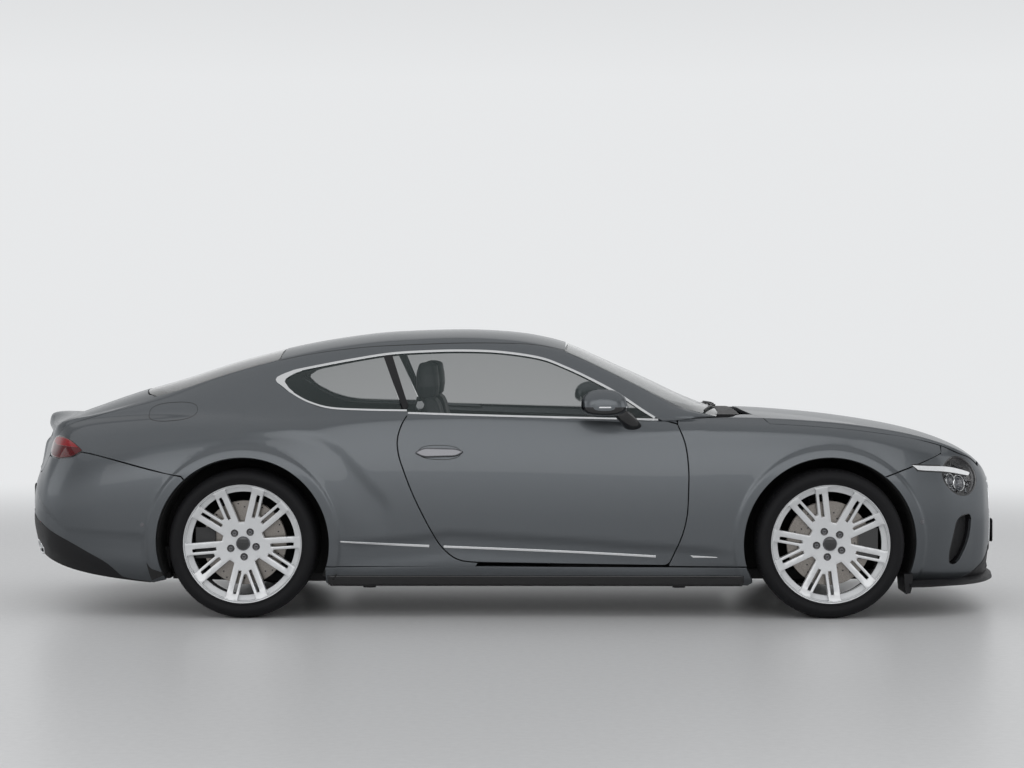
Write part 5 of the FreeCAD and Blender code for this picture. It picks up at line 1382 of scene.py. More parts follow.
# two projector lenses with their rings, a field of small crystal facets
for along, up, radius in ((-34.0, -18.0, 27.0), (30.0, -26.0, 36.0)):
    origin = lamp_base[0] - lamp_axis * 44.0 + forward * along + rise * up
    ring = [(radius + 7, -8), (radius + 7, 7), (radius + 4, 10), (radius + 1, 8), (radius, 4), (radius, -8)]
    dome = [(radius * math.sin(a), -4 + radius * 0.55 * math.cos(a))
            for a in np.linspace(math.pi / 2, 0.02, 9)]
    lamp_parts.append((*lathe_at(ring, origin, lamp_axis, 40), 1))
    lamp_parts.append((*lathe_at(dome, origin, lamp_axis, 40), 2))
for row in range(9):
    for column in range(13):
        along = -72.0 + column * 12.0 + (row % 2) * 6.0
        up = -66.0 + row * 12.0
        tilt = (along * 0.74 + up * -0.67, along * 0.67 + up * 0.74)
        if (tilt[0] / 96) ** 2 + (tilt[1] / 74) ** 2 > 0.9 or up > 14:
            continue
        if min(math.hypot(along + 34, up + 18) - 36, math.hypot(along - 30, up + 26) - 45) < 0:
            continue
        share = math.hypot(along, up) / 105.0
        origin = lamp_base[0] - lamp_axis * (60.0 * (1 - share ** 2) + 4.0) + forward * along + rise * up
        lamp_parts.append((*lathe_at([(5.4, -2), (4.6, 2.0), (0.1, 5.0)], origin, lamp_axis, 6), 3))
both_sides("headlamp_inside", lamp_parts, [GLOSS_BLACK, CHROME, LENS_DARK, CRYSTAL], "body", [],
           24)
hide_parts("headlamps")
lamp_rim = [on_surface("s", lamp_oval(107, 87)), on_surface("s", lamp_oval(99, 79))]
panel("headlamp_rim", lamp_rim, [GLOSS_BLACK], "gloss_black", "body", lift=-1.5, depth=10.0, bevel=1.5,
      gap=10.0)
panel("headlamp_cover", [on_surface("s", lamp_oval(104, 84))], [LENS], "lamp_lens", "body", lift=-1.0,
      depth=3.0, bevel=1.0, gap=14.0)
BAR = curve([(1945, 744), (2010, 740), (2100, 736), (2160, 727), (2215, 712), (2246, 702)], 14)
bar_outline = (BAR + [(2248, 694), (2240, 686)]
               + curve([(2215, 690), (2160, 702), (2100, 711), (2010, 717), (1972, 721)], 14))
panel("light_bar", [on_surface("s", bar_outline)], [LIGHT_BAR], "lamp_lens", "body", lift=2.2, depth=8.0,
      bevel=2.0, gap=9.0)
frame_outline = ([(x - 5, z + 5) for x, z in BAR[:1]] + [(x, z + 6) for x, z in BAR[1:11]]
                 + [(x, z - 6) for x, z in curve([(2100, 711), (2010, 717), (1968, 720)], 14)])
panel("light_bar_frame", [on_surface("s", frame_outline)], [GLOSS_BLACK], "gloss_black", "body", lift=1.0,
      depth=6.0, bevel=1.2, gap=9.0)

TAIL_OVAL = [(-2304, 838, 30), (-2268, 872, 30), (-2180, 866, 60), (-2100, 812, 12), (-2150, 780, 50),
             (-2240, 768, 40), (-2296, 786, 30)]
panel("tail_lamp_body", [on_surface("s", rounded(TAIL_OVAL))], [RED_LENS], "red_lens", "body", lift=5.0,
      depth=16.0, bevel=5.0, gap=11.0)
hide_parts("tail_lamps")
upper_lens = [(-2278, 858, 10), (-2250, 868, 20), (-2180, 860, 40), (-2118, 822, 10), (-2180, 826, 40),
              (-2268, 832, 14)]
panel("tail_lamp_upper", [on_surface("s", rounded(upper_lens))], [BRIGHT_RED], "red_lens", "body", lift=6.5,
      depth=5.0, bevel=1.6, gap=9.0)
tail_ring = [on_surface("s", rounded([(x - 4 if x < -2200 else x + 4, z + (4 if z > 820 else -4), r)
                                      for x, z, r in TAIL_OVAL])), on_surface("s", rounded(TAIL_OVAL))]
panel("tail_lamp_ring", tail_ring, [GLOSS_BLACK], "gloss_black", "body", lift=1.6, depth=6.0, bevel=0.8,
      gap=9.0)
reflector = [(-2338, 456, 6), (-2256, 404, 4), (-2262, 390, 4), (-2342, 434, 6)]
panel("rear_reflector", [on_surface("s", rounded(reflector))], [BRIGHT_RED], "red_lens", "body", lift=2.0,
      depth=6.0, bevel=1.0, gap=9.0)

# dark lower part of the rear bumper, and the front intake surround
VALANCE = [(-2330, 452), (-2250, 408), (-2169, 369), (-2080, 322), (-1985, 270), (-1930, 220), (-1905, 196),
           (-1840, 180), (-1770, 172)]
valance_half = (on_surface("s", curve(VALANCE[::-1], 16))
                + on_surface("r", curve([(660, 466), (600, 480), (480, 486), (300, 488), (20, 488)], 16))
                + [(RUN[0], c * ACROSS) for c in np.linspace(by_front(0.5, 486, False)[1], 0, 10)]
                + [(t, 0.0) for t in np.linspace(RUN[0], by_side(-1765, 170)[0], 40)])
TIP_HOLE = on_surface("r", oval(600, 318, 74, 32, count=48))
centre_panel("rear_valance", [valance_half, TIP_HOLE], [BLACK_PLASTIC], "black_plastic", "body", lift=2.5,
             depth=14.0, bevel=3.0, gap=22.0)
apron_half = (on_surface("s", curve([(1935, 178), (2131, 175), (2218, 182), (2303, 225), (2369, 276),
                                     (2390, 300)], 16)) + on_surface("f", dense([(455, 316), (12, 316)], 18))
              + nose_line(315, 291) + on_surface("f", dense(LOW_INTAKE[::-1]))
              + nose_line(199, GRID[-1, 0, 2])
              + [(t, 0.0) for t in np.linspace(RUN[-1], by_side(1935, 170)[0], 40)])
centre_panel("front_apron", [apron_half], [BLACK_PLASTIC], "black_plastic", "body", lift=2.5, depth=14.0,
             bevel=3.0, gap=18.0)
# flat mesh in the side intake; its near-black cell middles are painted shade of the openings
panel("side_intake_mesh",
      [on_surface("s", [(x + (6 if x > 2200 else -6), z) for x, z in rounded(SIDE_INTAKE)])], [MESH_WITH_OPENING_SHADE],
      "black_plastic", "body", lift=-34.0, depth=3.0, bevel=0.5, gap=14.0)
intake_wall = [on_surface("s", rounded(SIDE_INTAKE))]
verts, norms, faces, slots, _ = sheet(intake_wall, body_place, lift=0.0, depth=40.0, bevel=3.0)
wall_faces = [f for f in faces if len(f) == 4]
both_sides("side_intake_wall", [(verts, wall_faces, 0)], [GLOSS_BLACK], "body", [], 40)
rim_outer = dense([(12, 322), (388, 322), (404, 327), (411, 342), (437, 626), (433, 643), (418, 649),
                   (12, 649)], 12)
rim_inner = dense([(12, 334), (384, 334), (394, 338), (398, 350), (423, 620), (421, 630), (412, 636),
                   (12, 636)], 12)
rim_half = (nose_line(322, 334) + on_surface("f", rim_inner) + nose_line(636, 649)
            + on_surface("f", rim_outer[::-1]))
centre_panel("grille_rim", [rim_half], [CHROME], "dark_chrome", "body", lift=4.0, depth=18.0, bevel=3.0,
             gap=10.0)

# exhaust finishers: flat ovals that follow the corner of the bumper, dark inside
tip_rows = []
for k in range(64):
    a = 2 * math.pi * k / 64
    ring = []
    for grow, out, deep in ((4.0, -4.0, 0.0), (5.0, 5.0, 0.0), (2.0, 8.0, 0.0), (-2.0, 8.0, 0.0),
                            (-6.0, 4.0, 0.0), (-8.0, 0.0, 30.0), (-9.0, 0.0, 150.0)):
        y, z = 600 + (74 + grow) * math.cos(a), 318 + (32 + grow) * math.sin(a)
        (t, c), = on_surface("r", [(y, z)])
        point, normal = body_place(np.array([t]), np.array([c]))
        ring.append((float(point[0, 0] + normal[0, 0] * out) + deep, y, z))
    tip_rows.append(ring)
tip_verts, tip_faces = outward(*loft_rings([[row[k] for row in tip_rows] for k in range(7)], False))
mouth = [(x - 1.0, y, z) for x, y, z in [row[6] for row in tip_rows]]
both_sides("exhaust_finisher", [(tip_verts, tip_faces, 0), (mouth, [tuple(range(64))], 1)], [CHROME, SEAL_AND_PAINTED_SHADE],
           "body", [], 40)
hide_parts("exhaust_tips")

# lamp bar over the number plate, along the lower edge of the boot lid
bar_rings = []
for y in np.concatenate([[-262, -258], np.linspace(-248, 248, 33), [258, 262]]):
    x = float(np.interp(abs(y), [0, 100, 160, 200, 250, 270], [-2451, -2450, -2442, -2431, -2416, -2410]))
    half = 12.0 if abs(y) < 255 else (9.0 if abs(y) < 260 else 4.0)
    bar_rings.append([(x + 24, y, 690 - half), (x + 3, y, 690 - half), (x, y, 690 - half * 0.6),
                      (x - 1.5, y, 690 + half * 0.2), (x + 1, y, 690 + half * 0.8), (x + 5, y, 690 + half),
                      (x + 24, y, 690 + half)])
finish_piece(add_parts("plate_lamp_bar", [(*outward(*loft_rings(bar_rings)), 0)], [PAINT], 35), "boot_lid")


# ---------------------------------------------------------------- mirrors, lip, wipers, wheelhouses
# mirror head rings from the door outward: y, middle x and z, half length, half height over and under
MIRROR = ((903, 470, 1030, 62, 30, 22), (912, 462, 1031, 88, 52, 34), (930, 455, 1032, 103, 68, 40),
          (960, 450, 1032, 110, 79, 44), (1000, 448, 1031, 112, 83, 46), (1040, 447, 1030, 109, 80, 44),
          (1068, 446, 1030, 98, 68, 38), (1084, 445, 1030, 80, 50, 29), (1091, 445, 1030, 52, 28, 17))


def mirror_ring(row):
    """One ring of the mirror head, leaning back towards its top."""
    y, x, z, half, above, below = row
    ring = []
    for k in range(40):
        a = 2 * math.pi * k / 40
        height = above if math.sin(a) > 0 else below
        u, v = squared(math.cos(a), 0.8), squared(math.sin(a), 0.8)
        lean = -0.10 * max(v * height, 0)
        ring.append((x + half * u + lean * (0.3 if u < 0 else 1.0), y, z + height * v))
    return ring


verts, faces = outward(*loft_rings([mirror_ring(row) for row in MIRROR]))
v = np.asarray(verts)
cap_faces, under_faces = [], []
for f in faces:
    (cap_faces if v[list(f), 2].mean() > 1027.5 else under_faces).append(f)
line_section = ((-2, -4), (1.6, -3), (2.0, 0), (1.6, 3), (-2, 4))
mirror_x, mirror_y = 449, 997
line_rings = []
for k in range(48):
    a = 2 * math.pi * k / 48
    x = mirror_x + 113.5 * squared(math.cos(a), 0.8)
    y = mirror_y + 93.6 * squared(math.sin(a), 0.8)
    base = np.array([x - mirror_x, y - mirror_y, 0.0])
    base /= np.linalg.norm(base)
    c = np.array([x, y, 1029.0])
    line_rings.append([tuple(c + base * r + np.array([0, 0, h])) for r, h in line_section])
line_verts, line_faces = outward(*loft_rings(line_rings + line_rings[:1], False))
glass_ring = [(334.5, 998 + 74 * math.cos(2 * math.pi * k / 32), 1036 + 46 * math.sin(2 * math.pi * k / 32))
              for k in range(32)]
glass = (glass_ring, [tuple(range(32))])
STALK = ((862, 592, 924, 46, 19), (884, 590, 926, 46, 20), (902, 584, 938, 44, 24), (925, 566, 962, 42, 26),
         (948, 542, 985, 40, 24), (968, 525, 1000, 38, 16))
stalk = outward(*loft_rings([[(x + half * math.cos(2 * math.pi * k / 24), y,
                               z + height * math.sin(2 * math.pi * k / 24)) for k in range(24)]
                             for y, x, z, half, height in STALK]))
both_sides("mirror_head", [(verts, cap_faces, 0), (verts, under_faces, 1), (line_verts, line_faces, 2),
                           (*glass, 3), (*stalk, 1)], [PAINT, GLOSS_BLACK, CHROME, MIRROR_GLASS],
           "door_{side}", ["door_mirror_{side}"], 40)

# front lip below the bumper: its edge in plan and the height of its tip
LIP = curve([(1935, 914), (2040, 884), (2120, 838), (2235, 762), (2330, 648), (2398, 500), (2434, 345),
             (2452, 180), (2454, 0)], 18)
lip_rings = []
for k, (x, y) in enumerate(LIP):
    ahead = np.asarray(LIP[min(k + 1, len(LIP) - 1)]) - np.asarray(LIP[max(k - 1, 0)])
    ahead /= np.linalg.norm(ahead)
    inner = np.array([-ahead[1], ahead[0]])
    inner *= -1 if inner[0] > 0 else 1
    if k == len(LIP) - 1:
        inner = np.array([-1.0, 0.0])
    proud = float(step(np.array([x]), 2050, 2330)[0])
    profile_points = ((2 - 14 * (1 - proud), 158), (-12 * (1 - proud), 152), (8, 148), (70, 147), (70, 182),
                      (26, 180), (8 - 4 * proud, 168))
    lip_rings.append([(x + inner[0] * d, max(y + inner[1] * d, 0.0) if k < len(LIP) - 1 else 0.0, z)
                      for d, z in profile_points])
lip_verts, lip_faces = outward(*loft_rings(lip_rings, False))
both_sides("front_lip", [(lip_verts, lip_faces, 0)], [BLACK_PLASTIC], "body", ["splitter"],
           30)

# air deflector ahead of each front tyre
flap_ring = [[(1906, 640, 215), (1950, 640, 215), (1946, 640, 150), (1938, 640, 121), (1916, 640, 116)],
             [(1906, 905, 215), (1950, 905, 215), (1946, 905, 150), (1938, 905, 121), (1916, 905, 116)]]
both_sides("tyre_deflector", [(*outward(*loft_rings(flap_ring)), 0)], [BLACK_PLASTIC],
           "body", [], 20)


# inner walls of the wheelhouses, seen through and over the wheels
def house_wall(x, inner_y, outer_y, flange):
    """Upright disc behind a wheel, and the drum over its tyre out to a flange of the given width."""
    radius, low_z = 414.0, 190.0
    disc_r = radius + 46
    rings = []
    for y in (inner_y - 3, inner_y + 3):
        ring = [(x + disc_r * math.cos(math.radians(a)), y, WHEEL_Z + disc_r * math.sin(math.radians(a)))
                for a in np.linspace(-28, 208, 40)]
        rings.append([(px, py, max(pz, low_z)) for px, py, pz in ring])
    wall = outward(*loft_rings(rings))
    section = ((radius, inner_y), (radius, outer_y - 30), (radius + 8, outer_y - 6),
               (radius + flange, outer_y), (radius + flange, outer_y + 3), (radius + 6, outer_y - 2),
               (radius + 4, inner_y))
    drum_rings = []
    for a in np.linspace(-22, 202, 46):
        c, s = math.cos(math.radians(a)), math.sin(math.radians(a))
        drum_rings.append([(x + r * c, y, WHEEL_Z + r * s) for r, y in section])
    return [(*wall, 0), (*loft_rings(drum_rings), 0)]


both_sides("rear_wheelhouse", house_wall(REAR_X, 634.0, 925.0, 66.0), [FELT], "body", [], 30)
both_sides("front_wheelhouse", house_wall(FRONT_X, 470.0, 880.0, 9.0), [FELT], "body", [], 30)

# wipers lie along the foot of the windscreen
for index, (line, side) in enumerate(((curve([(1046, 40), (1010, 300), (952, 640)], 30), "right"),
                                      (curve([(1046, 90), (1022, 330), (985, 560)], 30), "left"))):
    blade = sheet([band(line, -4.0, 4.0, "p")], body_place, gap=10.0, lift=11.0, depth=9.0, bevel=2.0)
    arm = sheet([band(line[: len(line) // 2 + 1], 6.0, 17.0, "p")], body_place, gap=10.0, lift=16.0,
                depth=7.0, bevel=2.5)
    for part_name, parts, material in (("blade", blade, SEAL_AND_PAINTED_SHADE), ("arm", arm, BLACK_PLASTIC)):
        verts, norms, faces, slots, _ = parts if side == "left" else mirrored(parts)
        finish_piece(make_object("wiper_%s_%s" % (part_name, side), verts, faces, norms, slots, [material]),
                     "body")
for place_name, spot in (("front", (1990, 469)), ("rear", (-1792, 455))):
    panel("sensor_" + place_name, [on_surface("s", oval(*spot, 11, 11, count=20))], [DARK_CHROME], "paint",
          "body", [], lift=0.8, depth=3.0, bevel=1.0, gap=6.0)


def plate(name, x, ahead, z):
    """Blank number plate in a dark holder, facing along +x or -x."""
    half_width, half_height = 260, 55
    parts = []
    for index, (grow, near, far, round_edge) in enumerate(((5.0, 0.0, 4.0, 1.0), (0.0, 4.0, 6.5, 0.8))):
        rings = []
        for out, inset in ((near, 0.0), (far - round_edge, 0.0), (far, round_edge)):
            ring = []
            for k in range(64):
                a = 2 * math.pi * k / 64
                u = squared(math.cos(a), 0.12) * (half_width + grow - inset)
                w = squared(math.sin(a), 0.12) * (half_height + grow - inset)
                ring.append((x + ahead * out, u, z + w))
            rings.append(ring)
        parts.append((*outward(*loft_rings(rings)), index))
    return finish_piece(add_parts(name, parts, [BLACK_PLASTIC, PLATE], 30), "body")


plate("front_plate", 2447.5, 1, 376)
rear_low = Vector(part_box("number_plates")[0]) / MM
plate("rear_plate", rear_low.x + 6.5, -1, 555)
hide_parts("number_plates")

# cowl between the bonnet and the windscreen, and the fillers at the feet of the pillars
cowl_half = (on_surface("p", curve([(1140, 0), (1140, 150), (1142, 300), (1156, 520), (1164, 612)], 16))
             + on_surface("p", curve([(1128, 634), (1096, 696), (1080, 756), (1054, 786), (1014, 786)], 14))
             + on_surface("p", curve([(1009, 745), (1020, 680), (1031, 560), (1036, 300), (1036, 0)], 16))
             + centreline(1052, 1134, 20))
centre_panel("cowl_cover", [cowl_half], [BLACK_PLASTIC], "black_plastic", "body", lift=-46.0, depth=5.0,
             bevel=2.0, gap=20.0)
for index in range(26):
    slot_loop = on_surface("p", oval(1098.0, 20.0 + index * 22.0, 26.0, 3.2, math.radians(4), count=16,
                                     power=2.6))
    panel("cowl_slot_%02d" % index, [slot_loop], [SEAL_AND_PAINTED_SHADE], "black_plastic", "body", lift=-44.6, depth=2.0,
          bevel=0.6, gap=9.0)
foot = on_surface("s", [(749, 960)]) + on_surface("p", [(799, 855)]) + on_surface("s", [(806, 947)])
panel("pillar_foot", [dense(foot + foot[:1], 10.0)[:-1]], [PAINT], "paint", "body", lift=-0.5, depth=4.0,
      bevel=1.2, gap=9.0)


# ---------------------------------------------------------------- cabin
def pad(name, line, widths, thicknesses, centre_y, wing, flute=0.0, flute_half=0.6):
    """Crowned leather pad along (x, z) points, with sewn channels on its face and a welt at its edge."""
    line = np.asarray(line, float)
    along = np.concatenate([[0], np.cumsum(np.linalg.norm(np.diff(line, axis=0), axis=1))])
    share = along / along[-1]
    stations = np.concatenate([[0.0, 0.006, 0.02, 0.045], np.linspace(0.08, 0.92, 30),
                               [0.955, 0.98, 0.994, 1.0]])
    rings = []
    for u in stations:
        x, z = np.interp(u, share, line[:, 0]), np.interp(u, share, line[:, 1])
        ahead = np.array([np.interp(u + 0.03, share, line[:, k]) - np.interp(u - 0.03, share, line[:, k])
                          for k in (0, 1)])
        if u > 0.96 or u < 0.04:
            ahead = (line[-1] - line[-2]) if u > 0.5 else (line[1] - line[0])
        ahead = ahead / np.linalg.norm(ahead)
        face = np.array([ahead[1], -ahead[0]])
        if face[0] < 0 and abs(face[0]) > abs(face[1]) or face[1] < 0 and abs(face[1]) > abs(face[0]):
            face = -face
        end = min(u, 1 - u) / 0.08
        close = math.sqrt(max(0.0, 1 - (1 - min(end, 1.0)) ** 2))
        half = np.interp(u, np.linspace(0, 1, len(widths)), widths) * (0.90 + 0.10 * close)
        thick = np.interp(u, np.linspace(0, 1, len(thicknesses)), thicknesses) * (0.12 + 0.88 * close) / 2
        ring = []
        for k in range(96):
            a = 2 * math.pi * k / 96
            cu = squared(math.cos(a), 0.62)
            cv = squared(math.sin(a), 0.72)
            out = thick * cv
            y = half * cu
            if cv > 0:
                out += wing * abs(cu) ** 3 * close
                if flute and abs(y) < half * flute_half:
                    phase = (y / 46.0) % 1.0
                    to_seam = min(1.0, (half * flute_half - abs(y)) / 6)
                    out -= flute * (1 - math.sin(math.pi * phase)) ** 3 * close * to_seam
                seam = abs(abs(y) - half * flute_half)
                out -= 4.0 * math.exp(-(seam / 4.0) ** 2) * close
            welt = 2.0 * math.exp(-((abs(cu) - 0.985) / 0.012) ** 2) * close
            ring.append((x + face[0] * (out + welt), centre_y + y, z + face[1] * (out + welt)))
        rings.append(ring)
    obj = add_parts(name, [(*outward(*loft_rings(rings)), 0)], [LEATHER], 60)
    return finish_piece(obj, "body")


for side, sign in (("right", -1), ("left", 1)):
    y = sign * 375.0
    pad("seat_cushion_" + side, [(232, 372), (205, 398), (120, 402), (-60, 388), (-250, 372), (-300, 368)],
        [205, 226, 232, 224, 205], [96, 140, 146, 140, 120], y, flute=5.0, wing=26.0)
    pad("seat_back_" + side, [(-322, 372), (-330, 470), (-352, 640), (-382, 820), (-412, 980), (-428, 1062)],
        [205, 226, 238, 236, 214, 150], [96, 126, 118, 112, 104, 86], y, flute=5.0, wing=30.0)
    pad("head_rest_" + side, [(-424, 1052), (-430, 1110), (-432, 1180), (-428, 1236)], [112, 138, 136, 112],
        [86, 116, 112, 84], y, flute_half=0.72, wing=8.0)
    pad("rear_cushion_" + side, [(-700, 512), (-725, 528), (-850, 520), (-1000, 500)], [205, 230, 232, 220],
        [84, 108, 112, 96], sign * 300.0, flute=5.0, wing=14.0)
    pad("rear_back_" + side, [(-1018, 520), (-1050, 640), (-1085, 800), (-1112, 940), (-1120, 985)],
        [205, 226, 226, 205, 160], [80, 104, 100, 88, 70], sign * 300.0, flute=5.0, wing=14.0)
    # shell behind the front seat, and its floor rails
    shell_rings = []
    for z, x, half, depth in ((300, -395, 190, 40), (420, -392, 222, 44), (640, -412, 236, 46),
                              (860, -446, 230, 44), (1010, -468, 200, 38), (1060, -474, 150, 22)):
        shell_rings.append(squared_ring(x, y, z, depth * 0.5, half, 0.7, 0.6))
    base_rings = []
    for z, half_x, half_y in ((202, 235, 205), (240, 250, 214), (310, 262, 218), (335, 262, 216)):
        base_rings.append(squared_ring(-55, y, z, half_x, half_y, 0.4, 0.4))
    posts = [(*lathe_at([(7, 0), (7, 70)], (-430, y + dy, 1000), (-0.05, 0, 1), 16), 1) for dy in (-52, 52)]
    loop = ((-470, 1002), (-446, 1010), (-438, 1028), (-450, 1046), (-472, 1044), (-480, 1020))
    guide = outward(*loft_rings([[(x, y + sign * 222 + dy, z) for x, z in loop] for dy in (-4, 4)]))
    seat_parts = [(*outward(*loft_rings(shell_rings)), 0), (*outward(*loft_rings(base_rings)), 2),
                  (*guide, 1)]
    obj = add_parts("seat_shell_" + side, seat_parts + posts, [DARK_LEATHER, CHROME, TRIM], 30)
    finish_piece(obj, "body")
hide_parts("front_seats")
bench_rings = []
for x, low, high in ((-692, 330, 470), (-1000, 330, 450), (-1040, 330, 560), (-1125, 330, 900),
                     (-1130, 330, 985), (-1178, 330, 985)):
    bench_rings.append([(x, y, z) for y, z in ((-548, low), (548, low), (548, high), (500, high + 14),
                                               (-500, high + 14), (-548, high))])
obj = add_parts("rear_bench_base", [(*outward(*loft_rings(bench_rings)), 0)], [DARK_LEATHER], 30)
finish_piece(obj, "body", ["rear_seat"])

# dashboard: a rounded section carried across the car, bowed towards the doors
DASH_TOP = [(948, 905), (900, 922), (800, 926), (690, 922), (620, 906), (575, 872), (566, 838), (580, 800)]
DASH_LOW = [(580, 800), (596, 770), (600, 730), (640, 668), (720, 645), (840, 642), (948, 650)]
section = curve(DASH_TOP, 18)[:-1] + curve(DASH_LOW, 18)
rings = []
for y in np.concatenate([[-788, -784, -774], np.linspace(-750, 750, 41), [774, 784, 788]]):
    pull = 1 - (1 - min(abs(788 - abs(y)) / 16.0, 1.0)) ** 2
    cowl = math.exp(-((y + 375) / 170.0) ** 2)
    ring = []
    for x, z in section:
        lift = 12.0 * cowl * max(0.0, 1 - abs(x - 640) / 120.0)
        ring.append((790 + (x - 790) * (0.93 + 0.07 * pull) + 22.0 * (abs(y) / 788) ** 2 * (x < 700), y,
                     785 + (z - 785) * (0.93 + 0.07 * pull) + lift * 0.4))
    rings.append(ring)
dash_verts, dash_faces = outward(*loft_rings(rings))
upper, lower = [], []
v = np.asarray(dash_verts)
for f in dash_faces:
    (upper if v[list(f), 2].mean() > 800 or len(f) > 4 else lower).append(f)
console_rings = []
for x, z_top, half in ((-438, 510, 92), (-428, 530, 104), (-380, 540, 110), (-200, 546, 111), (100, 552, 111),
                       (380, 560, 111), (450, 590, 111), (540, 680, 111), (600, 742, 111), (680, 700, 108)):
    console_rings.append([(x, half * u, 330 + (z_top - 330) * w)
                          for u, w in ((-1, 0), (-1, 0.5), (-1, 0.90), (-0.95, 0.97), (-0.86, 1.0),
                                       (0.86, 1.0), (0.95, 0.97), (1, 0.90), (1, 0.5), (1, 0))])
console = outward(*loft_rings(console_rings))
rake = math.radians(22.0)
toward = np.array([-math.cos(rake), 0.0, math.sin(rake)])
hub_point = np.array([330.0, -375.0, 815.0])
extras = [(*lathe_at([(24, -318), (26, -120), (30, -60), (40, -44), (40, -36), (14, -34)], hub_point, toward,
                     40), 3)]
for y in (-690, -120, 120, 690):
    bezel = [(46, -6), (46, 5), (43, 8), (38, 8), (36, 3), (34, -4), (12, -4), (10, 2), (0.5, 3)]
    extras.append((*lathe_at(bezel, (570.0 + 20.0 * (abs(y) / 788) ** 2, y, 850.0), (-1, 0, 0.12), 40), 4))
dash = add_parts("dash_main", [(dash_verts, upper, 0), (dash_verts, lower, 1), (*console, 2)] + extras,
                 [DARK_LEATHER, LEATHER, LEATHER, TRIM, CHROME], 34)
finish_piece(dash, "body", ["dashboard"])


def plaque(name, centre, half_y, half_z, lean, material, frame_material):
    """Slim rounded panel that faces the seats, with a lighter frame round it."""
    parts = []
    for grow, depth, index in ((4.0, 0.0, 1), (0.0, -2.5, 0)):
        rings = []
        for out, inset in ((6.0, 0.0), (1.5, 0.0), (0.0, 1.6)):
            ring = []
            for k in range(48):
                a = 2 * math.pi * k / 48
                u = squared(math.cos(a), 0.18) * (half_y + grow - inset)
                w = squared(math.sin(a), 0.18) * (half_z + grow - inset)
                ring.append((centre[0] + depth + out + w * math.sin(lean), centre[1] + u,
                             centre[2] + w * math.cos(lean)))
            rings.append(ring)
        parts.append((*outward(*loft_rings(rings)), index))
    return finish_piece(add_parts(name, parts, [material, frame_material], 30), "body")


plaque("centre_screen", (566, 0, 838), 88, 44, 0.16, SCREEN_GLASS, CHROME)
plaque("dial_screen", (560, -375, 862), 112, 40, 0.16, SCREEN_GLASS, DARK_CHROME)
plaque("veneer_left", (574, 430, 836), 190, 26, 0.14, VENEER, CHROME)
for index, (x, half_x, half_y, drop) in enumerate(((250, 120, 82, 2), (-40, 90, 70, 0))):
    ring_sets = []
    for z, inset in ((540, 0.0), (561, 0.0), (563, 2.0)):
        ring_sets.append(squared_ring(x, 0, z - drop, half_x - inset, half_y - inset, 0.3, 0.3))
    finish_piece(add_parts("console_plate_%d" % index, [(*outward(*loft_rings(ring_sets)), 0)],
                           [VENEER if index == 0 else DARK_LEATHER], 30), "body")
knob = [(14, 0), (13, 18), (11, 34), (17, 44), (21, 58), (20, 74), (12, 82), (0.5, 84)]
finish_piece(add_parts("gear_selector", [(*lathe_at(knob, (150.0, 0.0, 560.0), (-0.12, 0, 1), 40), 0)],
                       [CHROME], 40), "body")

# steering wheel: a rim with a flattened boss and three spokes
up = np.array([math.sin(rake), 0.0, math.cos(rake)])
across = np.array([0.0, 1.0, 0.0])
rim_rings = []
for k in range(96):
    a = 2 * math.pi * k / 96
    radial = across * math.cos(a) + up * math.sin(a)
    grip = 15.0 + 1.6 * (math.exp(-((math.degrees(a) % 360 - 40) / 16.0) ** 2)
                         + math.exp(-((math.degrees(a) % 360 - 140) / 16.0) ** 2))
    rim_rings.append([tuple(hub_point + radial * (180.0 + grip * math.cos(b)) + toward * grip * 1.12
                            * math.sin(b)) for b in np.linspace(0, 2 * math.pi, 20, endpoint=False)])
wheel_parts = [(*loft_rings(rim_rings + rim_rings[:1], False), 0)]
boss = [(60, -20), (64, -6), (62, 8), (52, 18), (30, 24), (0.5, 26)]
wheel_parts.append((*lathe_at(boss, hub_point, toward, 48), 0))
for angle, root, tip in ((8, 26, 17), (172, 26, 17), (262, 15, 11), (278, 15, 11)):
    a = math.radians(angle)
    radial = across * math.cos(a) + up * math.sin(a)
    cross = np.cross(toward, radial)
    spoke_rings = []
    for r, half in ((40, root), (90, (root + tip) / 2 - 2), (140, tip - 2), (172, tip)):
        spoke_rings.append([tuple(hub_point + radial * r + cross * half * math.cos(b)
                                  + toward * 7.0 * math.sin(b))
                            for b in np.linspace(0, 2 * math.pi, 16, endpoint=False)])
    wheel_parts.append((*outward(*loft_rings(spoke_rings)), 1))
finish_piece(add_parts("steering_wheel_rim", wheel_parts, [DARK_LEATHER, DARK_CHROME], 40), "steering_wheel",
             ["steering_wheel"])

# door card with an arm rest, inside each door
card = rounded([(-470, 940, 20), (690, 915, 20), (700, 700, 60), (690, 420, 60), (640, 330, 30),
                (-250, 345, 60), (-380, 480, 80), (-450, 640, 80)])
panel("door_card", [on_surface("s", card)], [TRIM, LEATHER], "interior_trim", "door_{side}", lift=-58.0,
      depth=34.0, bevel=8.0, back=True, gap=30.0)
arm_rest = rounded([(-330, 690, 30), (430, 660, 30), (470, 620, 24), (440, 585, 24), (-300, 600, 30)])
panel("door_arm_rest", [on_surface("s", arm_rest)], [TRIM, DARK_LEATHER], "dark_leather", "door_{side}",
      lift=-80.0, depth=48.0, bevel=10.0, back=True, gap=30.0)
pull = rounded([(180, 760, 12), (330, 752, 12), (336, 738, 8), (176, 744, 8)])
panel("door_pull", [on_surface("s", pull)], [CHROME, CHROME], "dark_chrome", "door_{side}", lift=-90.0,
      depth=18.0, bevel=3.0, back=True, gap=12.0)


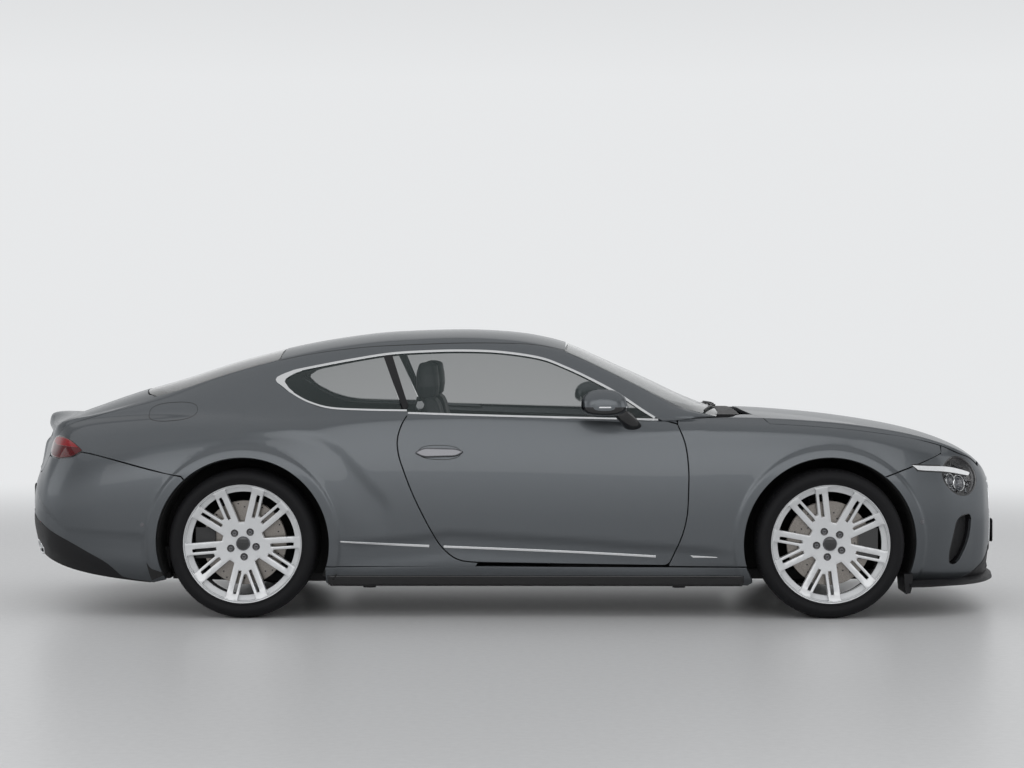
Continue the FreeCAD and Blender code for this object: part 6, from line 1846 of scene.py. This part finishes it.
# ---------------------------------------------------------------- finishes of the CAD nodes that stay
DRESS = {"underbody": UNDERSHIELD, "arch_liners": FELT, "cowl_panel": BLACK_PLASTIC, "grille": DARK_CHROME,
         "diffuser": BLACK_PLASTIC, "front_axle": IRON, "rear_axle": IRON, "engine": CASTING,
         "knuckle_front_left": CALIPER, "knuckle_front_right": CALIPER}
for node, material in DRESS.items():
    mesh = frame["nodes"][node].data
    for index in range(len(mesh.materials)):
        mesh.materials[index] = material
    if not mesh.materials:
        mesh.materials.append(material)


# ---------------------------------------------------------------- stage, light
def stage_plane(name, size, location):
    """Square plane of the stage, size in metres."""
    mesh = bpy.data.meshes.new(name)
    half = size / 2
    mesh.from_pydata([(-half, -half, 0), (half, -half, 0), (half, half, 0), (-half, half, 0)], [],
                     [(0, 1, 2, 3)])
    obj = bpy.data.objects.new(name, mesh)
    obj.location = location
    scene.collection.objects.link(obj)
    return obj


floor = stage_plane("floor", 60.0, (0, 0, 0))
FLOOR = node_material("pale_floor", (0.62, 0.62, 0.62), roughness=0.35)
mottle = texture(FLOOR, "ShaderNodeTexNoise", 6.0, Detail=5.0)
vary(FLOOR, mottle.outputs["Fac"], (0.60, 0.60, 0.60), (0.64, 0.64, 0.64))
BACKGROUND = (0.80, 0.81, 0.82, 1)


def link_background(tree, surface_socket, fac_socket, background, output_socket):
    """Shows the background colour where fac_socket is 1, to camera, mirror and see-through rays only."""
    path = tree.nodes.new("ShaderNodeLightPath")
    seen = path.outputs["Is Camera Ray"]
    for name in ("Is Glossy Ray", "Is Transmission Ray"):
        either = tree.nodes.new("ShaderNodeMath")
        either.operation = "MAXIMUM"
        tree.links.new(seen, either.inputs[0])
        tree.links.new(path.outputs[name], either.inputs[1])
        seen = either.outputs[0]
    if fac_socket is not None:
        both = tree.nodes.new("ShaderNodeMath")
        both.operation = "MULTIPLY"
        tree.links.new(seen, both.inputs[0])
        tree.links.new(fac_socket, both.inputs[1])
        seen = both.outputs[0]
    mix = tree.nodes.new("ShaderNodeMixShader")
    tree.links.new(seen, mix.inputs["Fac"])
    tree.links.new(surface_socket, mix.inputs[1])
    tree.links.new(background, mix.inputs[2])
    tree.links.new(mix.outputs["Shader"], output_socket)


# far from the car the floor runs into the background
tree = FLOOR.node_tree
place = tree.nodes.new("ShaderNodeTexCoord")
length = tree.nodes.new("ShaderNodeVectorMath")
length.operation = "LENGTH"
tree.links.new(place.outputs["Object"], length.inputs[0])
far_off = map_range(tree, length.outputs["Value"], 4.5, 11.0, 0.0, 1.0)
far_off.interpolation_type = "SMOOTHSTEP"
glow = tree.nodes.new("ShaderNodeEmission")
glow.inputs["Color"].default_value = BACKGROUND
link_background(tree, tree.nodes["Principled BSDF"].outputs["BSDF"], far_off.outputs["Result"],
                glow.outputs["Emission"], tree.nodes["Material Output"].inputs["Surface"])
floor.data.materials.append(FLOOR)


def softbox(name, location, size, power, target=(0, 0, 0.6)):
    """Rectangular light aimed at a point."""
    light = bpy.data.lights.new(name, "AREA")
    light.shape, light.size, light.size_y = "RECTANGLE", size[0], size[1]
    light.energy = power
    obj = bpy.data.objects.new(name, light)
    obj.location = location
    obj.rotation_euler = (Vector(target) - Vector(location)).to_track_quat("-Z", "Y").to_euler()
    scene.collection.objects.link(obj)


softbox("ceiling", (0, 0, 7.0), (18.0, 14.0), 400, (0, 0, 0))
softbox("side_right", (-0.5, -12.5, 5.5), (18.0, 6.0), 500, (0, 0, 0.8))
softbox("side_left", (0.5, 12.5, 5.5), (18.0, 7.0), 110, (0, 0, 0.8))
softbox("front", (12.0, -1.0, 4.5), (9.0, 6.0), 150)
softbox("rear", (-12.0, -1.0, 4.5), (9.0, 6.0), 150)

world = bpy.data.worlds.new("world")
scene.world = world
world.use_nodes = True
tree = world.node_tree
tree.nodes.clear()
output = tree.nodes.new("ShaderNodeOutputWorld")
dim, bright = tree.nodes.new("ShaderNodeBackground"), tree.nodes.new("ShaderNodeBackground")
dim.inputs["Color"].default_value = (0.80, 0.82, 0.85, 1)
dim.inputs["Strength"].default_value = 0.42
bright.inputs["Color"].default_value = BACKGROUND
# paler at the horizon than overhead, as in a hall
place = tree.nodes.new("ShaderNodeTexCoord")
upward = tree.nodes.new("ShaderNodeSeparateXYZ")
tree.links.new(place.outputs["Generated"], upward.inputs[0])
fade = map_range(tree, upward.outputs["Z"], 0.10, 0.40, 1.0, 0.35)
tree.links.new(fade.outputs["Result"], bright.inputs["Strength"])
link_background(tree, dim.outputs["Background"], None, bright.outputs["Background"], output.inputs["Surface"])
